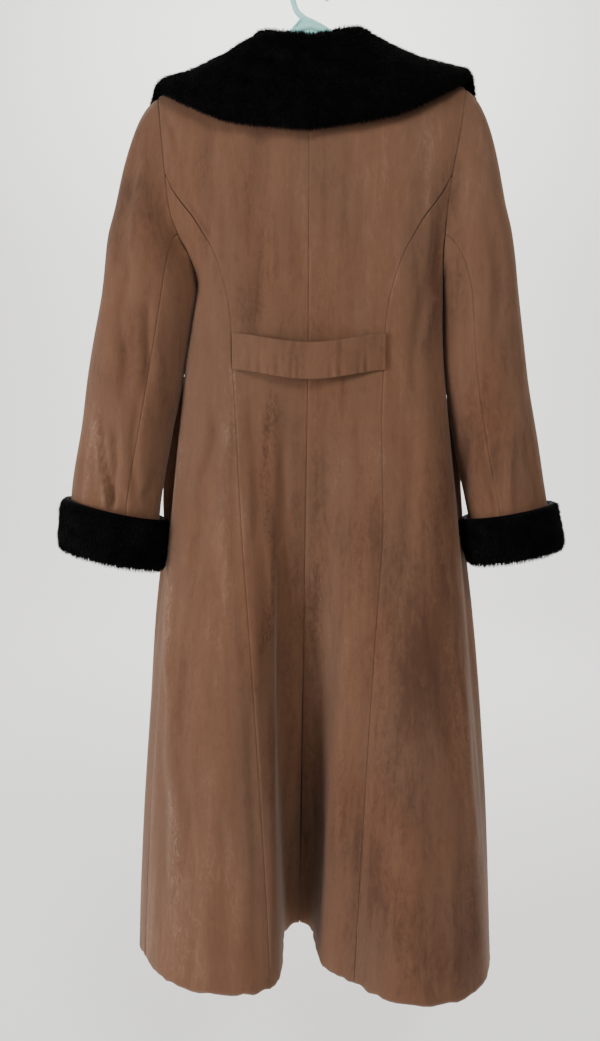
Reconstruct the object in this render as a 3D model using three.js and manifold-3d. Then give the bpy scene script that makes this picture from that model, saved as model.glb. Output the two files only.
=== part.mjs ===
// A long princess-line coat with a deep fur collar and turned-up fur cuffs, hanging on a plastic
// hanger. Millimetres, +Z up. The coat's back faces -Y and its fronts face +Y; +X is the wearer's
// right. The origin is the inner crown of the hanger's hook, where a rod or peg bears.
import * as THREE from "three";
import { mergeVertices } from "three/addons/utils/BufferGeometryUtils.js";
import Module from "manifold-3d";

const wasm = await Module();
wasm.setup();

// ---------------------------------------------------------------- driving sizes
const CLOTH = 2.4; // shell, interlining and lining together
const SEAM_GAP = 0.25; // each panel stops this far short of its seam line
const HEM_Z = -1355;
const WAIST_Z = -506;
const UNDERARM_Z = -400;
const NECK_HALF = 67; // neck point to the centre
const NECK_POINT_Z = -96;
const BACK_NECK_Z = -118;
const BACK_NECK_DEPTH = 30;
const SHOULDER_SLOPE = 0.4;
const HANG_TILT = 0.04; // the hanger hangs with its +X end a little high
const SHOULDER_ROUND = 120; // height over which the shoulder turns into the back
const TIP_Z = -149; // height of the shoulder tips before the hanger's tilt
const TILT_FROM_Z = -265; // the armhole takes up the tilt above this height
const TIP_HALF = { left: 200, right: 206 }; // shoulder tips from the centre
const LAP = 30; // each front runs this far past the centre
const LAP_S = 2.2; // the lap's edge on the scale of the section table
const LAP_LIFT = 3.2; // the upper front lies this far over the lower one
const LAP_LIFT_FROM = 66; // it starts to rise this far from the centre
const LAP_LIFT_Z = -238; // and this far down
const LAP_LIFT_EASE = 28;
const FUR = 14; // pile and backing
const BELT_WIDTH = 47;
const BELT_DROP = 13; // how far the belt's middle sags
const BELT_STAND_OFF = 11; // how far its middle stands off the back
const BELT_TOP_Z = -471;
const BELT_END = { left: -99.5, right: 101 }; // the princess seams that hold it
const BELT_GAP = 0.9; // air between the belt's ends and the back
const BELT_SAG_POWER = 1.5; // the sag gathers towards the middle
const BELT_BOW_POWER = 1.2;
const BELT_COLUMNS = 14;
const BELT_ROWS = 3;
const BUTTON_RADIUS = 14;
const BUTTON_THICK = 5;
const BUTTON_EDGE = { under: 1.5, over: 1.8 }; // how far the rim is rounded
const BUTTON_DISH = { from: 5, deep: 1.2 }; // the sunk face starts this far in from the rim
const BUTTON_SIDES = 20;
const BUTTON_STAND = 0.5; // air between a button and the front
const BUTTON_TOP_Z = -352;
const BUTTON_PITCH = 130;
const BUTTONS = 4;

// ---------------------------------------------------------------- tables
// Half widths and depths of the torso. Above the underarm the widths are those at which the
// rounded section would close if the armhole were not cut out of it.
const TORSO = [
  { z: -506, left: 167, right: 184.6, back: 63, front: 40 },
  { z: -450, left: 157.8, right: 181.8, back: 61, front: 38 },
  { z: -400, left: 150, right: 182, back: 58, front: 37 },
  { z: -360, left: 167, right: 190, back: 55, front: 36 },
  { z: -320, left: 194, right: 201, back: 52, front: 35 },
  { z: -272, left: 206, right: 212, back: 47, front: 34 },
  { z: -210, left: 213, right: 219, back: 43, front: 32 },
  { z: -140, left: 216, right: 223, back: 40, front: 30 },
];

// One half of the torso's section, as shares of its half width. s runs from the centre back, 0,
// past the side seam, 1, to the centre front, 2, and on to the edge of the lap. The depth follows
// from the share by the power below.
const SECTION = [
  { s: 0, x: 0 },
  { s: 0.25, x: 0.34 },
  { s: 0.5, x: 0.63 },
  { s: 0.7, x: 0.82 },
  { s: 0.85, x: 0.93 },
  { s: 0.95, x: 0.985 },
  { s: 1, x: 1 },
  { s: 1.07, x: 0.975 },
  { s: 1.2, x: 0.89 },
  { s: 1.4, x: 0.71 },
  { s: 1.65, x: 0.42 },
  { s: 1.8, x: 0.22 },
  { s: 2, x: 0 },
  { s: LAP_S, x: -0.19 },
];
const SECTION_POWER = 3;

// The folds of the skirt at the hem: a deep inverted fold at the centre back, a broad flute on
// each side of it, a turn at each side seam and shallow flutes in the fronts. x is outwards. The
// flare says how soon below the waist the skirt is as wide as its hem: the more, the sooner.
const HEM = [
  { s: 0, leftX: 8, leftY: 31, leftFlare: 1.25, rightX: -8, rightY: 31, rightFlare: 1.25 },
  { s: 0.1, leftX: 25, leftY: 14, leftFlare: 1.25, rightX: 9, rightY: 17, rightFlare: 1.25 },
  { s: 0.2, leftX: 31, leftY: -18, leftFlare: 1.25, rightX: 14, rightY: -16, rightFlare: 1.25 },
  { s: 0.3, leftX: 32, leftY: -56, leftFlare: 1.25, rightX: 18, rightY: -50, rightFlare: 1.25 },
  { s: 0.4, leftX: 35, leftY: -90, leftFlare: 1.25, rightX: 36, rightY: -80, rightFlare: 1.25 },
  { s: 0.5, leftX: 48, leftY: -112, leftFlare: 1.25, rightX: 68, rightY: -100, rightFlare: 1.25 },
  { s: 0.6, leftX: 84, leftY: -124, leftFlare: 1.25, rightX: 104, rightY: -129, rightFlare: 1.25 },
  { s: 0.7, leftX: 127, leftY: -123, leftFlare: 1.28, rightX: 150, rightY: -143, rightFlare: 1.25 },
  { s: 0.8, leftX: 171, leftY: -110, leftFlare: 1.34, rightX: 197, rightY: -136, rightFlare: 1.25 },
  { s: 0.9, leftX: 207, leftY: -84, leftFlare: 1.42, rightX: 241, rightY: -108, rightFlare: 1.25 },
  { s: 1, leftX: 231, leftY: -50, leftFlare: 1.5, rightX: 264, rightY: -62, rightFlare: 1.25 },
  { s: 1.08, leftX: 246, leftY: -18, leftFlare: 1.66, rightX: 272, rightY: -20, rightFlare: 1.8 },
  { s: 1.18, leftX: 241, leftY: 12, leftFlare: 2.3, rightX: 263, rightY: 12, rightFlare: 2.3 },
  { s: 1.32, leftX: 205, leftY: 24, leftFlare: 2, rightX: 222, rightY: 26, rightFlare: 2 },
  { s: 1.48, leftX: 156, leftY: 20, leftFlare: 1.6, rightX: 169, rightY: 22, rightFlare: 1.6 },
  { s: 1.62, leftX: 108, leftY: 34, leftFlare: 1.35, rightX: 118, rightY: 36, rightFlare: 1.35 },
  { s: 1.8, leftX: 58, leftY: 42, leftFlare: 1.25, rightX: 60, rightY: 42, rightFlare: 1.25 },
  { s: 2, leftX: 0, leftY: 42, leftFlare: 1.25, rightX: 0, rightY: 42, rightFlare: 1.25 },
  { s: LAP_S, leftX: -LAP, leftY: 42, leftFlare: 1.25, rightX: -LAP, rightY: 42, rightFlare: 1.25 },
];
const HEM_PRINCESS_S = { back: 0.5, front: 1.5 }; // where the princess seams meet the hem
const PRINCESS_SETTLE_Z = -760; // they keep to it below this height
const FOLD_POWER = 1.1; // the skirt's folds deepen steadily

// The fronts are wider than the back and spread out behind the sleeves by this much, most of all
// between two places on the section.
const SPREAD = [
  { z: -1355, left: 0, right: 0 },
  { z: -1000, left: 0, right: 0 },
  { z: -850, left: 5, right: 4 },
  { z: -760, left: 6, right: 5 },
  { z: -690, left: 16, right: 10 },
  { z: -620, left: 20, right: 12 },
  { z: -560, left: 18, right: 10 },
  { z: -506, left: 13, right: 8 },
  { z: -450, left: 7, right: 5 },
  { z: -415, left: 0, right: 0 },
  { z: -400, left: 0, right: 0 },
];
const SPREAD_S = { from: 1.07, full: 1.17, until: 1.32, end: 1.7 };

// Levels up an armhole, from the underarm to the shoulder tip, with the height of the centre back
// on the same row of cloth, the armhole's distance from the centre, and the front's extra scoop.
const ARMHOLE = [
  { k: 0, edgeZ: -400, centreZ: -400, left: 150, right: 182, scoop: 0 },
  { k: 1, edgeZ: -385, centreZ: -378, left: 153, right: 180, scoop: 6 },
  { k: 2, edgeZ: -365, centreZ: -350, left: 160, right: 179, scoop: 11 },
  { k: 3, edgeZ: -340, centreZ: -318, left: 173, right: 180, scoop: 14 },
  { k: 4, edgeZ: -305, centreZ: -280, left: 184, right: 182, scoop: 14 },
  { k: 5, edgeZ: -265, centreZ: -240, left: 188.5, right: 187, scoop: 11 },
  { k: 6, edgeZ: -225, centreZ: -198, left: 192.5, right: 195, scoop: 7 },
  { k: 7, edgeZ: -186, centreZ: -156, left: 196, right: 202, scoop: 3 },
  { k: 8, edgeZ: TIP_Z, centreZ: BACK_NECK_Z, left: TIP_HALF.left, right: TIP_HALF.right, scoop: 0 },
];
const TIP_LEVEL = 8;
const PRINCESS_LEVEL = 5; // the princess seam runs into the armhole here

// The back princess seams' distance from the centre, from the waist to the armhole.
const PRINCESS = [
  { z: -506, left: 100, right: 100 },
  { z: -470, left: 100.5, right: 100.5 },
  { z: -435, left: 104, right: 104 },
  { z: -400, left: 112, right: 112 },
  { z: -385, left: 117, right: 117 },
  { z: -365, left: 125, right: 125 },
  { z: -340, left: 140, right: 139 },
  { z: -320, left: 153, right: 151 },
  { z: -305, left: 165, right: 163 },
  { z: -290, left: 176, right: 174 },
  { z: -265, left: 188.5, right: 187 },
];

// The front princess seams, in the same way.
const FRONT_PRINCESS = [
  { z: -506, left: 92, right: 96 },
  { z: -450, left: 94, right: 98 },
  { z: -400, left: 100, right: 104 },
  { z: -385, left: 105, right: 109 },
  { z: -365, left: 113, right: 117 },
  { z: -340, left: 127, right: 131 },
  { z: -305, left: 151, right: 152 },
  { z: -265, left: 177.5, right: 176 },
];

// The fronts' inner edge above the underarm: up the lap to the break, then up the neckline.
const NECKLINE = [
  { k: 0, x: -LAP, z: -400 },
  { k: 1, x: -LAP, z: -364 },
  { k: 2, x: -LAP, z: -328 },
  { k: 3, x: -8, z: -292 },
  { k: 4, x: 12, z: -252 },
  { k: 5, x: 29, z: -210 },
  { k: 6, x: 44, z: -168 },
  { k: 7, x: 57, z: -127 },
  { k: 8, x: NECK_HALF, z: NECK_POINT_Z },
];

// Rows of cloth from the hem to the underarm.
const SKIRT_ROWS = [
  -1355, -1300, -1235, -1160, -1080, -1000, -920, -840, -760, -690, -620, -560, -506, -470, -435, -400,
];

// Rings down each sleeve: the centre, half width and half depth, and how far the ring slopes.
const SLEEVE = {
  left: [
    { z: -418, x: 217.2, y: -9, wide: 61.8, deep: 46, slope: 0 },
    { z: -520, x: 235, y: -12, wide: 63, deep: 46, slope: 0.06 },
    { z: -609, x: 250, y: -15, wide: 61, deep: 45, slope: 0.14 },
    { z: -690, x: 264, y: -18, wide: 60, deep: 44, slope: 0.23 },
    { z: -770, x: 271.5, y: -22, wide: 59.5, deep: 44, slope: 0.24 },
  ],
  right: [
    { z: -418, x: 233.7, y: -9, wide: 50.3, deep: 46, slope: 0 },
    { z: -520, x: 243, y: -12, wide: 56, deep: 46, slope: 0.06 },
    { z: -609, x: 259, y: -14, wide: 56, deep: 45, slope: 0.13 },
    { z: -690, x: 275, y: -17, wide: 53.5, deep: 44, slope: 0.2 },
    { z: -770, x: 291.5, y: -19, wide: 52.5, deep: 44, slope: 0.21 },
  ],
};
const SLEEVE_ROWS = [-418, -455, -495, -535, -575, -615, -655, -695, -735, -762];
const CAP_ROWS = 6; // rows between the armhole and the first ring
const CAP_PUSH = { out: 38, down: 14 }; // how the cap leaves the shoulder tip
const CAP_RISE = { in: 20, up: 121 }; // how it arrives at the first ring
const CAP_REACH = 260; // length of the cap at the tip, which scales both
const SLEEVE_COLUMNS = 16;
const BACK_COLUMNS = 9;
const SIDE_COLUMNS = 7;
const FRONT_COLUMNS = 9;
const NEAR_SEAM = 0.25; // a line this near each shoulder seam keeps the shoulder round
const SIDE_TOP_TRIM = 0.2; // the side back's point is cut off this far under its tip

// The cuff's profile round its edge: share of its height and distance off the sleeve.
const CUFF_TOP_Z = -702;
const CUFF_HEIGHT = { left: 72, right: 66 };
const CUFF_CLEAR = 1.2;
const CUFF_PROFILE = [
  { up: 0.06, off: 0 },
  { up: 0.35, off: 0 },
  { up: 0.65, off: 0 },
  { up: 0.94, off: 0 },
  { up: 1.0, off: 0.3 },
  { up: 1.0, off: 0.62 },
  { up: 0.9, off: 0.93 },
  { up: 0.65, off: 1 },
  { up: 0.35, off: 1.02 },
  { up: 0.1, off: 0.95 },
  { up: 0.0, off: 0.66 },
  { up: 0.0, off: 0.3 },
];
const CUFF_COLUMNS = 24;

// Half of the collar's middle surface, from the centre back to the break of the fronts. A station
// has its neck edge n, roll r, fall f, the middle of the fall m and its outer edge e.
const COLLAR = [
  { at: 0, nx: 0, ny: -28, nz: -115, rx: 0, ry: -36, rz: -100, fx: 0, fy: -46, fz: -112 },
  { at: 1, nx: 38, ny: -23, nz: -108, rx: 43, ry: -32, rz: -93, fx: 52, fy: -41, fz: -105 },
  { at: 2, nx: 60, ny: -12, nz: -97, rx: 62, ry: -17, rz: -86.5, fx: 77, fy: -23, fz: -97 },
  { at: 3, nx: 63, ny: -1, nz: -91, rx: 66, ry: 0, rz: -85.5, fx: 85, fy: 0, fz: -95 },
  { at: 4, nx: 63, ny: 12, nz: -92, rx: 69, ry: 18, rz: -86, fx: 84, fy: 22, fz: -97 },
  { at: 5, nx: 52, ny: 28, nz: -138, rx: 60, ry: 34, rz: -134, fx: 72, fy: 38, fz: -141 },
  { at: 6, nx: 28, ny: 37, nz: -222, rx: 38, ry: 42, rz: -222, fx: 48, fy: 43, fz: -226 },
  { at: 7, nx: 2, ny: 43, nz: -318, rx: 7, ry: 46, rz: -319, fx: 12, fy: 47.5, fz: -321 },
];
// Farther out: the middle of the fall m, the turn over the shoulder tip t and the outer edge e.
const COLLAR_FALL = [
  { at: 0, mx: 0, my: -54, mz: -155, tx: 0, ty: -57, tz: -200, ex: 0, ey: -58, ez: -221 },
  { at: 1, mx: 74, my: -49, mz: -146, tx: 94, ty: -53, tz: -188, ex: 100, ey: -54, ez: -206 },
  { at: 2, mx: 120, my: -31, mz: -129, tx: 155, ty: -38, tz: -159, ex: 168, ey: -41, ez: -173 },
  { at: 3, mx: 148, my: 0, mz: -121, tx: 195, ty: -3, tz: -135, ex: 206, ey: -6, ez: -146 },
  { at: 4, mx: 139, my: 28, mz: -127, tx: 205, ty: 31, tz: -147, ex: 219, ey: 34, ez: -171 },
  { at: 5, mx: 110, my: 41, mz: -176, tx: 156, ty: 39.5, tz: -216, ex: 168, ey: 38.5, ez: -232 },
  { at: 6, mx: 78, my: 44, mz: -250, tx: 108, ty: 43.5, tz: -278, ex: 116, ey: 43, ez: -288 },
  { at: 7, mx: 25, my: 47.5, mz: -330, tx: 34, ty: 47.5, tz: -340, ex: 38, ey: 47, ez: -345 },
];
const COLLAR_SPREAD = 0.058; // the +X side is spread this much wider
const COLLAR_STATIONS = 14; // on each side of the centre back
const COLLAR_END = { thick: 0.35, gain: 1.3 }; // it thins to this share at its two ends

// The hanger: a moulded frame under the shoulders, a hook and a flat web between the two.
const HANGER_ROD = 5;
const HANGER = { apexZ: -69, tipX: 186, barZ: -200, clear: 4.5 };
// The frame from the neck out along one arm, round its tip and back into the bar: distance in from
// the tip, and depth under the line of the arm or the bar.
const HANGER_BEND = [
  { inward: 119, of: "arm", down: 0 },
  { inward: 66, of: "arm", down: 0 },
  { inward: 12, of: "arm", down: 0 },
  { inward: 0, of: "arm", down: 4 },
  { inward: -3, of: "arm", down: 16 },
  { inward: 4, of: "bar", down: -8 },
  { inward: 20, of: "bar", down: 0 },
];
const HOOK_ROD = 3.6;
const HOOK_RADIUS = 22; // of the hook's inner edge
const HOOK_TURN = 0.66 * Math.PI; // how far the hook bends each way from its crown
const HOOK_STEM = [
  { x: -17, z: -49 },
  { x: -7, z: -58 },
  { x: 5, z: -64 },
  { x: 18, z: -71 },
  { x: 32, z: -80.5 },
];
const WEB_THICK = 4;
const WEB = [
  { x: -40, z: -90 },
  { x: -24, z: -75 },
  { x: -15, z: -68 },
  { x: -13, z: -56 },
  { x: -5, z: -60 },
  { x: 10, z: -68 },
  { x: 40, z: -90 },
  { x: 0, z: -86 },
];

// ---------------------------------------------------------------- small tools
const mix = (a, b, t) => a + (b - a) * t;
const clamp01 = (t) => Math.min(1, Math.max(0, t));
const bulge = (share) => (1 - Math.min(1, Math.abs(share)) ** SECTION_POWER) ** (1 / SECTION_POWER);
const ease = (t) => clamp01(t) * clamp01(t) * (3 - 2 * clamp01(t));

// A column of a table at a value of its key, by a cubic that never overshoots the rows.
function column(table, key, name, at) {
  const last = table.length - 1;
  let i = 0;
  while (i < last - 1 && at > table[i + 1][key]) i += 1;
  const width = (n) => table[n + 1][key] - table[n][key];
  const grade = (n) => (table[n + 1][name] - table[n][name]) / width(n);
  const slope = (n) => {
    if (n === 0) return grade(0);
    if (n === last) return grade(last - 1);
    const before = grade(n - 1);
    const after = grade(n);
    return before * after <= 0 ? 0 : (2 * before * after) / (before + after);
  };
  const w = width(i);
  const t = clamp01((at - table[i][key]) / w);
  const [t2, t3] = [t * t, t * t * t];
  return (
    (2 * t3 - 3 * t2 + 1) * table[i][name] +
    (t3 - 2 * t2 + t) * w * slope(i) +
    (3 * t2 - 2 * t3) * table[i + 1][name] +
    (t3 - t2) * w * slope(i + 1)
  );
}

// Where the section is a share of its half width from the centre, on the back or on the front.
function sectionAt(share, face = "back") {
  let [near, far] = face === "back" ? [0, 1] : [2, 1];
  for (let step = 0; step < 30; step += 1) {
    const middle = (near + far) / 2;
    if (column(SECTION, "s", "x", middle) < share) near = middle;
    else far = middle;
  }
  return (near + far) / 2;
}

const outwards = (side) => (side === "left" ? -1 : 1);

// ---------------------------------------------------------------- the coat's surface
// Height of the shoulder seam or back neck above a distance from the centre.
function topZ(side, x) {
  const lean = HANG_TILT * outwards(side) * x;
  const out = Math.abs(x);
  if (out >= NECK_HALF) return NECK_POINT_Z - (out - NECK_HALF) * SHOULDER_SLOPE + lean;
  const round = Math.sqrt(1 - (out / NECK_HALF) ** 2);
  return NECK_POINT_Z - (NECK_POINT_Z - BACK_NECK_Z) * round + lean;
}

// Depth of the coat above the underarm, at a distance x from the centre. sign is -1 for the back.
function upperY(side, x, z, sign) {
  const out = Math.abs(x);
  const face = sign < 0 ? "back" : "front";
  const full = column(TORSO, "z", face, z) * bulge(out / column(TORSO, "z", side, z));
  const neck = out < NECK_HALF ? Math.sqrt(1 - (out / NECK_HALF) ** 2) : 0;
  const edge = sign < 0 ? BACK_NECK_DEPTH * neck : 0;
  const seamZ =
    sign < 0
      ? topZ(side, x)
      : NECK_POINT_Z - (out - NECK_HALF) * SHOULDER_SLOPE + HANG_TILT * outwards(side) * x;
  const down = clamp01((seamZ - z) / SHOULDER_ROUND);
  return sign * mix(edge, full, Math.sqrt(1 - (1 - down) ** 2));
}

// The lower coat, from the underarm to the hem.
function lowerPoint(side, s, z) {
  const face = s < 1 ? "back" : "front";
  const level = Math.max(z, WAIST_Z);
  const share = column(SECTION, "s", "x", s);
  const x = column(TORSO, "z", side, level) * share;
  const y = (s < 1 ? -1 : 1) * column(TORSO, "z", face, level) * bulge(share);
  const fall = clamp01((WAIST_Z - z) / (WAIST_Z - HEM_Z));
  const hemX = column(HEM, "s", side + "X", s);
  const hemY = column(HEM, "s", side + "Y", s);
  const flared = 1 - (1 - fall) ** column(HEM, "s", side + "Flare", s);
  const { from, full, until, end } = SPREAD_S;
  const near = ease((s - from) / (full - from)) * ease((end - s) / (end - until));
  const spread = column(SPREAD, "z", side, z) * near;
  return { x: mix(x, hemX, flared) + spread, y: mix(y, hemY, fall ** FOLD_POWER), z };
}

// The upper front lies over the lower one near the centre.
function lapped(side, p) {
  const near = ease((LAP_LIFT_FROM - p.x) / LAP_LIFT_EASE) * ease((LAP_LIFT_Z - p.z) / LAP_LIFT_EASE);
  const lift = side === "right" ? LAP_LIFT * near : 0;
  return { x: p.x, y: p.y + lift, z: p.z };
}

const place = (side, p) => new THREE.Vector3(outwards(side) * p.x, p.y, p.z);

// Height of an armhole level, which follows the hanger's tilt at the tip.
function edgeZ(side, k) {
  const z = column(ARMHOLE, "k", "edgeZ", k);
  const above = clamp01((z - TILT_FROM_Z) / (TIP_Z - TILT_FROM_Z));
  return z + above * (topZ(side, TIP_HALF[side]) - TIP_Z);
}

// A point of the armhole's seam: sign -1 up the back, 1 up the front.
function armhole(side, k, sign) {
  const z = k >= TIP_LEVEL ? topZ(side, TIP_HALF[side]) : edgeZ(side, k);
  const scoop = sign > 0 ? column(ARMHOLE, "k", "scoop", k) : 0;
  const x = column(ARMHOLE, "k", side, k) - scoop;
  return { x, y: upperY(side, x, z, sign), z };
}

// Where a princess seam crosses the section at a height under the armhole.
function princessS(side, z, face = "back") {
  const level = Math.max(z, WAIST_Z);
  const out = column(face === "back" ? PRINCESS : FRONT_PRINCESS, "z", side, level);
  const seam = sectionAt(out / column(TORSO, "z", side, level), face);
  const settled = (z - PRINCESS_SETTLE_Z) / (WAIST_Z - PRINCESS_SETTLE_Z);
  return mix(HEM_PRINCESS_S[face], seam, ease(settled));
}

// Rows are numbered up from the hem; a fraction of a row is allowed.
const UNDERARM_ROW = SKIRT_ROWS.length - 1;
function rowZ(row) {
  const i = Math.min(Math.floor(row), UNDERARM_ROW - 1);
  return mix(SKIRT_ROWS[i], SKIRT_ROWS[i + 1], row - i);
}

// Centre back panel: a runs from the centre back seam to the princess seam and armhole.
function centreBack(side, a, row) {
  if (row <= UNDERARM_ROW) {
    const z = rowZ(row);
    return lowerPoint(side, a * princessS(side, z), z);
  }
  const k = row - UNDERARM_ROW;
  const z = k >= TIP_LEVEL ? topZ(side, TIP_HALF[side]) : edgeZ(side, k);
  const x = a * (k <= PRINCESS_LEVEL ? column(PRINCESS, "z", side, z) : column(ARMHOLE, "k", side, k));
  const rise = (k / TIP_LEVEL) ** 3;
  const level = mix(column(ARMHOLE, "k", "centreZ", k), z, a);
  const straight = mix(BACK_NECK_Z, topZ(side, TIP_HALF[side]), a);
  const height = Math.min(level + rise * (topZ(side, x) - straight), topZ(side, x));
  return { x, y: upperY(side, x, height, -1), z: height };
}

// Side back panel: a runs from the princess seam to the side seam and armhole.
function sideBack(side, a, row) {
  if (row <= UNDERARM_ROW) {
    const z = rowZ(row);
    return lowerPoint(side, mix(princessS(side, z), 1, a), z);
  }
  const k = row - UNDERARM_ROW;
  const z = edgeZ(side, k);
  const x = mix(column(PRINCESS, "z", side, z), column(ARMHOLE, "k", side, k), a);
  return { x, y: upperY(side, x, z, -1), z };
}

// The whole front: a runs from the side seam and armhole to the lap's edge and neckline.
function front(side, a, row) {
  if (row <= UNDERARM_ROW) {
    const z = rowZ(row);
    return lapped(side, lowerPoint(side, mix(1, LAP_S, a), z));
  }
  const k = row - UNDERARM_ROW;
  const outer = armhole(side, k, 1);
  const x = mix(outer.x, column(NECKLINE, "k", "x", k), a);
  const edgeX = Math.max(column(NECKLINE, "k", "x", k), 0);
  const tilt = (HANG_TILT * outwards(side) * edgeX * k) / TIP_LEVEL;
  const z = mix(outer.z, column(NECKLINE, "k", "z", k) + tilt, a);
  return lapped(side, { x, y: upperY(side, x, z, 1), z });
}

// A ring of the sleeve at a height; turn is 0 at the underarm, pi/2 at the back, pi at the top.
function sleeveRing(side, turn, z, off = 0) {
  const table = [...SLEEVE[side]].reverse();
  const value = (name) => column(table, "z", name, z);
  const [wide, deep] = [value("wide") + off, value("deep") + off];
  const dx = -wide * Math.cos(turn);
  return { x: value("x") + dx, y: value("y") - deep * Math.sin(turn), z: z + value("slope") * dx };
}

// The sleeve: column 0 is the underarm, 8 the shoulder tip, and 9 to 16 come down the front.
function sleeve(side, col, row) {
  const turn = (col / SLEEVE_COLUMNS) * 2 * Math.PI;
  if (row >= CAP_ROWS) {
    const i = Math.min(Math.floor(row) - CAP_ROWS, SLEEVE_ROWS.length - 2);
    return sleeveRing(side, turn, mix(SLEEVE_ROWS[i], SLEEVE_ROWS[i + 1], row - CAP_ROWS - i));
  }
  const t = row / CAP_ROWS;
  const start = col <= TIP_LEVEL ? armhole(side, col, -1) : armhole(side, SLEEVE_COLUMNS - col, 1);
  const end = sleeveRing(side, turn, SLEEVE_ROWS[0]);
  const reach = Math.hypot(start.x - end.x, start.y - end.y, start.z - end.z) / CAP_REACH;
  const leave = { x: start.x + CAP_PUSH.out * reach, y: start.y, z: start.z - CAP_PUSH.down * reach };
  const arrive = { x: end.x - CAP_RISE.in * reach, y: end.y, z: end.z + CAP_RISE.up * reach };
  const [b0, b1, b2, b3] = [(1 - t) ** 3, 3 * t * (1 - t) ** 2, 3 * t * t * (1 - t), t ** 3];
  const blend = (name) => b0 * start[name] + b1 * leave[name] + b2 * arrive[name] + b3 * end[name];
  return { x: blend("x"), y: blend("y"), z: blend("z") };
}

// The share of the front's width, from the side, at which its princess seam lies.
function frontSeam(side, row) {
  if (row <= UNDERARM_ROW) return (princessS(side, rowZ(row), "front") - 1) / (LAP_S - 1);
  const k = row - UNDERARM_ROW;
  if (k >= PRINCESS_LEVEL) return 0;
  const outer = armhole(side, k, 1).x;
  const seam = column(FRONT_PRINCESS, "z", side, edgeZ(side, k));
  return (outer - seam) / (outer - column(NECKLINE, "k", "x", k));
}
const centreFront = (side, a, row) => front(side, mix(frontSeam(side, row), 1, a), row);
const sideFront = (side, a, row) => front(side, a * frontSeam(side, row), row);

// ---------------------------------------------------------------- solids
const cloth = new THREE.MeshStandardMaterial({ color: 0x76553f, roughness: 0.85, metalness: 0 });
const fur = new THREE.MeshStandardMaterial({ color: 0x0b0a0b, roughness: 0.95, metalness: 0 });
const plastic = new THREE.MeshStandardMaterial({ color: 0x9fe3dc, roughness: 0.35, metalness: 0 });
const horn = new THREE.MeshStandardMaterial({ color: 0x4a3325, roughness: 0.4, metalness: 0 });

const coat = new THREE.Group();

function add(name, geometry, material) {
  const mesh = new THREE.Mesh(geometry, material);
  mesh.name = name;
  coat.add(mesh);
}

function geometryFrom(points, faces) {
  const geometry = new THREE.BufferGeometry().setFromPoints(points);
  const volume = faces.reduce((sum, [a, b, c]) => {
    const cross = new THREE.Vector3().crossVectors(points[b], points[c]);
    return sum + points[a].dot(cross);
  }, 0);
  geometry.setIndex(faces.flatMap(([a, b, c]) => (volume < 0 ? [a, c, b] : [a, b, c])));
  return geometry;
}

// A closed wall from outer(i, j) and inner(i, j), for i and j from 0 to across and up.
function wallGeometry(across, up, outer, inner) {
  const points = [];
  for (const surface of [outer, inner]) {
    for (let j = 0; j <= up; j += 1) {
      for (let i = 0; i <= across; i += 1) points.push(surface(i, j));
    }
  }
  const layer = (across + 1) * (up + 1);
  const at = (i, j, deep) => deep * layer + j * (across + 1) + i;
  const faces = [];
  const quad = (a, b, c, d) => faces.push([a, b, c], [a, c, d]);
  for (let j = 0; j < up; j += 1) {
    for (let i = 0; i < across; i += 1) {
      quad(at(i, j, 0), at(i + 1, j, 0), at(i + 1, j + 1, 0), at(i, j + 1, 0));
      quad(at(i, j, 1), at(i, j + 1, 1), at(i + 1, j + 1, 1), at(i + 1, j, 1));
    }
    quad(at(0, j, 1), at(0, j, 0), at(0, j + 1, 0), at(0, j + 1, 1));
    quad(at(across, j, 0), at(across, j, 1), at(across, j + 1, 1), at(across, j + 1, 0));
  }
  for (let i = 0; i < across; i += 1) {
    quad(at(i, 0, 1), at(i + 1, 0, 1), at(i + 1, 0, 0), at(i, 0, 0));
    quad(at(i, up, 0), at(i + 1, up, 0), at(i + 1, up, 1), at(i, up, 1));
  }
  return geometryFrom(points, faces);
}

// The outward normal of a surface, from a small step each way inside its bounds.
function normalAt(surface, i, j, across, up, towards) {
  const step = 1e-4;
  const left = surface(Math.max(0, i - step), j);
  const right = surface(Math.min(across, i + step), j);
  const below = surface(i, Math.max(0, j - step));
  const above = surface(i, Math.min(up, j + step));
  const normal = new THREE.Vector3().crossVectors(right.sub(left), above.sub(below)).normalize();
  return normal.multiplyScalar(towards);
}

// A panel of cloth over a surface, stopping short of its neighbours on all four edges.
function panel(name, across, up, surface, towards, thick = CLOTH, material = cloth) {
  const short = (value, end) => (value === 0 ? 1 : value === end ? -1 : 0);
  const outer = (i, j) => {
    const point = surface(i, j);
    const toI = short(i, across);
    const toJ = short(j, up);
    if (toI) point.add(surface(i + toI * 0.05, j).sub(surface(i, j)).setLength(SEAM_GAP));
    if (toJ) point.add(surface(i, j + toJ * 0.05).sub(surface(i, j)).setLength(SEAM_GAP));
    return point;
  };
  const inner = (i, j) =>
    outer(i, j).addScaledVector(normalAt(surface, i, j, across, up, towards), -thick);
  add(name, wallGeometry(across, up, outer, inner), material);
}

// ---------------------------------------------------------------- body panels
// Lines of the grid, as values of the row or column that they lie on.
const TOP_ROW = UNDERARM_ROW + TIP_LEVEL;
const PRINCESS_ROW = UNDERARM_ROW + PRINCESS_LEVEL;
const count = (last) => Array.from({ length: last + 1 }, (_, i) => i);
const BODY_LINES = [...count(TOP_ROW - 1), TOP_ROW - NEAR_SEAM, TOP_ROW];
const SIDE_LINES = [...count(PRINCESS_ROW - 1), PRINCESS_ROW - SIDE_TOP_TRIM];
const onLine = (lines, j) => {
  const low = Math.min(Math.floor(j), lines.length - 2);
  return mix(lines[low], lines[low + 1], j - low);
};

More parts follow.
